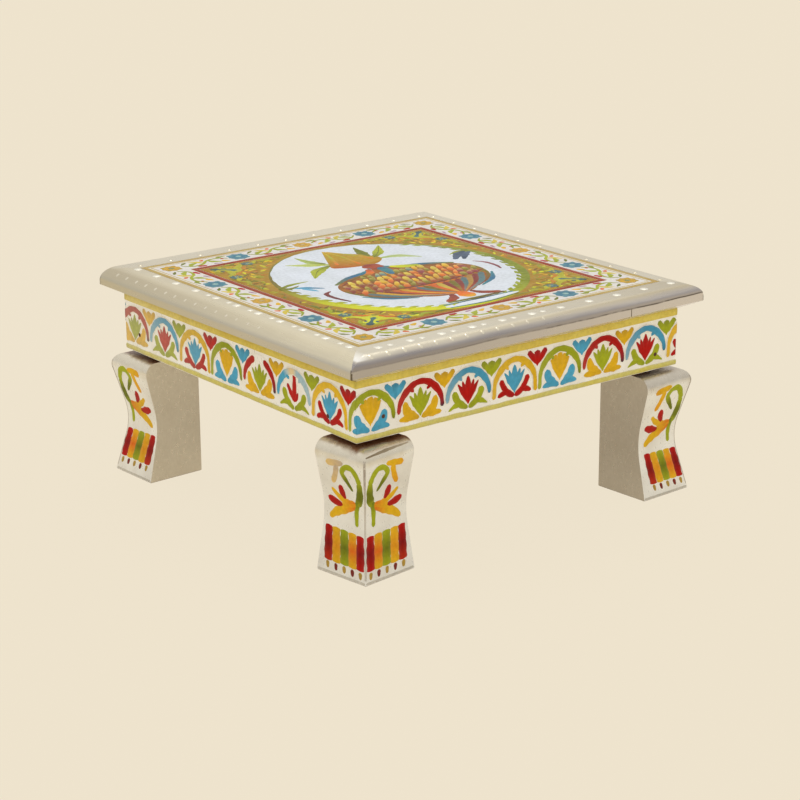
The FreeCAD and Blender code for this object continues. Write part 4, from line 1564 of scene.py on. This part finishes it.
def add_camera():
    azimuth, elevation = math.radians(CAMERA_AZIMUTH), math.radians(CAMERA_ELEVATION)
    level = math.cos(elevation)
    back = Vector((math.sin(azimuth) * level, -math.cos(azimuth) * level, math.sin(elevation)))
    right = Vector((0, 0, 1)).cross(back).normalized()
    turn = Matrix((right, back.cross(right), back)).transposed().to_4x4()
    roll = Matrix.Rotation(math.radians(CAMERA_ROLL), 4, "Z")
    place = (Vector(CAMERA_TARGET) + back * CAMERA_DISTANCE) * MM
    data = bpy.data.cameras.new("camera")
    data.lens = CAMERA_LENS
    data.sensor_width = CAMERA_SENSOR
    data.shift_x = CAMERA_SHIFT
    camera = add_object("camera", data)
    camera.matrix_world = Matrix.Translation(place) @ turn @ roll
    bpy.context.scene.camera = camera


BACKGROUND = linear(238, 227, 205)
FLOOR_HALF = 30.0
FLOOR_GLOW = 0.97
FLOOR_SEEN_IN_METAL = 0.6


def add_floor():
    """A plain pale floor, large enough to fill the view. Part of it glows, so the shadow stays soft."""
    mesh = bpy.data.meshes.new("floor")
    mesh.from_pydata([(x * FLOOR_HALF, y * FLOOR_HALF, 0) for x, y in SQUARE], [], [(0, 1, 2, 3)])
    floor = add_object("floor", mesh)
    shader = material_shader("floor")
    shader.fill(shader.surface, {"Base Color": BACKGROUND, "Roughness": 0.9, "Specular IOR Level": 0.0})
    glow = shader.add("Emission", {"Color": BACKGROUND, "Strength": 1.0}).outputs[0]
    path = shader.add("LightPath", {}).outputs
    in_metal = shader.times(path["Is Glossy Ray"], FLOOR_SEEN_IN_METAL)
    seen = shader.times(path["Is Camera Ray"], FLOOR_GLOW)
    share = shader.maths("MAXIMUM", seen, in_metal)
    mix = shader.add("MixShader", {0: share, 1: shader.surface.outputs[0], 2: glow})
    shader.tree.links.new(mix.outputs[0], shader.tree.nodes["Material Output"].inputs[0])
    mesh.materials.append(shader.owner)


# The sky's colour, and its strength at the horizon and overhead
SKY = (1, 0.985, 0.95)
HORIZON_LEVEL = 0.72
ZENITH_LEVEL = 1.0
SUN_LEVEL = 0.55
SUN_ANGLE = 24.0
SUN_FROM = (0.3, 0.35, 1.0)


def add_light():
    """A pale sky, a little brighter overhead, and a soft sun from above."""
    world = bpy.data.worlds.new("world")
    bpy.context.scene.world = world
    shader = Shader(world)
    shader.tree.nodes.clear()
    height = shader.parts(shader.coordinates("Generated"))[2]
    level = shader.ranged(height, 0.0, 0.9, HORIZON_LEVEL, ZENITH_LEVEL)
    sky = shader.add("Background", {"Color": SKY, "Strength": level}).outputs[0]
    plain = shader.add("Background", {"Color": BACKGROUND}).outputs[0]
    seen = shader.add("LightPath", {}).outputs["Is Camera Ray"]
    mix = shader.add("MixShader", {0: seen, 1: sky, 2: plain}).outputs[0]
    shader.add("OutputWorld", {0: mix})

    lamp = bpy.data.lights.new("sun", "SUN")
    lamp.energy = SUN_LEVEL
    lamp.angle = math.radians(SUN_ANGLE)
    sun = add_object("sun", lamp)
    sun.rotation_euler = Vector(SUN_FROM).to_track_quat("Z", "Y").to_euler()


def give(material, *names):
    """Puts a material on frame nodes by the start of their names."""
    for name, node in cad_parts.items():
        if name.startswith(names):
            node.data.materials.clear()
            node.data.materials.append(material)


def finish_nodes():
    """The finish of each node of the frame."""
    along_x = (0.08, 1, 1)
    along_y = (1, 0.08, 1)
    for side, stretch, colour, tones in (
        ("front", along_x, METAL, FRONT_RIM_LIGHT),
        ("back", along_x, METAL, BACK_RIM_LIGHT),
        ("left", along_y, LEFT_SHADED_METAL, LEFT_RIM_LIGHT),
        ("right", along_y, METAL, RIGHT_RIM_LIGHT),
    ):
        # Only the front sheet gets the painted dark reflection and highlight on its nose
        nose_reflection = side == "front"
        give(white_metal_material("rim_metal_" + side, stretch, colour, tones, nose_reflection), "rim_sheet_" + side)
    give(ribbon_material(), "apron_ribbon")
    give(white_metal_material("panel_metal"), "top_panel")
    give(sheath_material("leg_metal", LEG_METAL, 0.95), "leg_sheath")
    give(sheath_material("shaded_leg_metal", SHADED_LEG_METAL, 0.3), "leg_sheath_front_right")
    dark_wood = (linear(150, 86, 46), linear(92, 48, 24))
    give(wood_material("board_wood", *dark_wood, 1), "top_board", "rail_left", "rail_right")
    give(wood_material("frame_wood", *dark_wood, 0), "rail_front", "rail_back", "corner_block")
    give(wood_material("leg_wood", *dark_wood, 2), "leg_core", "leg_dowels")
    give(nail_material(), "rail_nails", "board_nails")


def main():
    bpy.context.scene.view_settings.view_transform = "Standard"
    finish_nodes()
    enamel = enamel_material()
    paint_grounds(enamel)
    paint_border(enamel)
    paint_field(enamel)
    paint_medallion(enamel)
    paint_ribbon(enamel)
    ribbon_beads(enamel)
    for quarter, corner in enumerate(CORNERS):
        for second in (False, True):
            paint_leg_face(corner, quarter, second, enamel)
    highlit_metal = white_metal_material("boss_metal", colour=BOSS_HIGHLIGHT_METAL)
    rim_bosses(highlit_metal, white_metal_material("faint_boss_metal"))
    rim_seams(seam_material())
    add_floor()
    add_light()
    add_camera()


main()
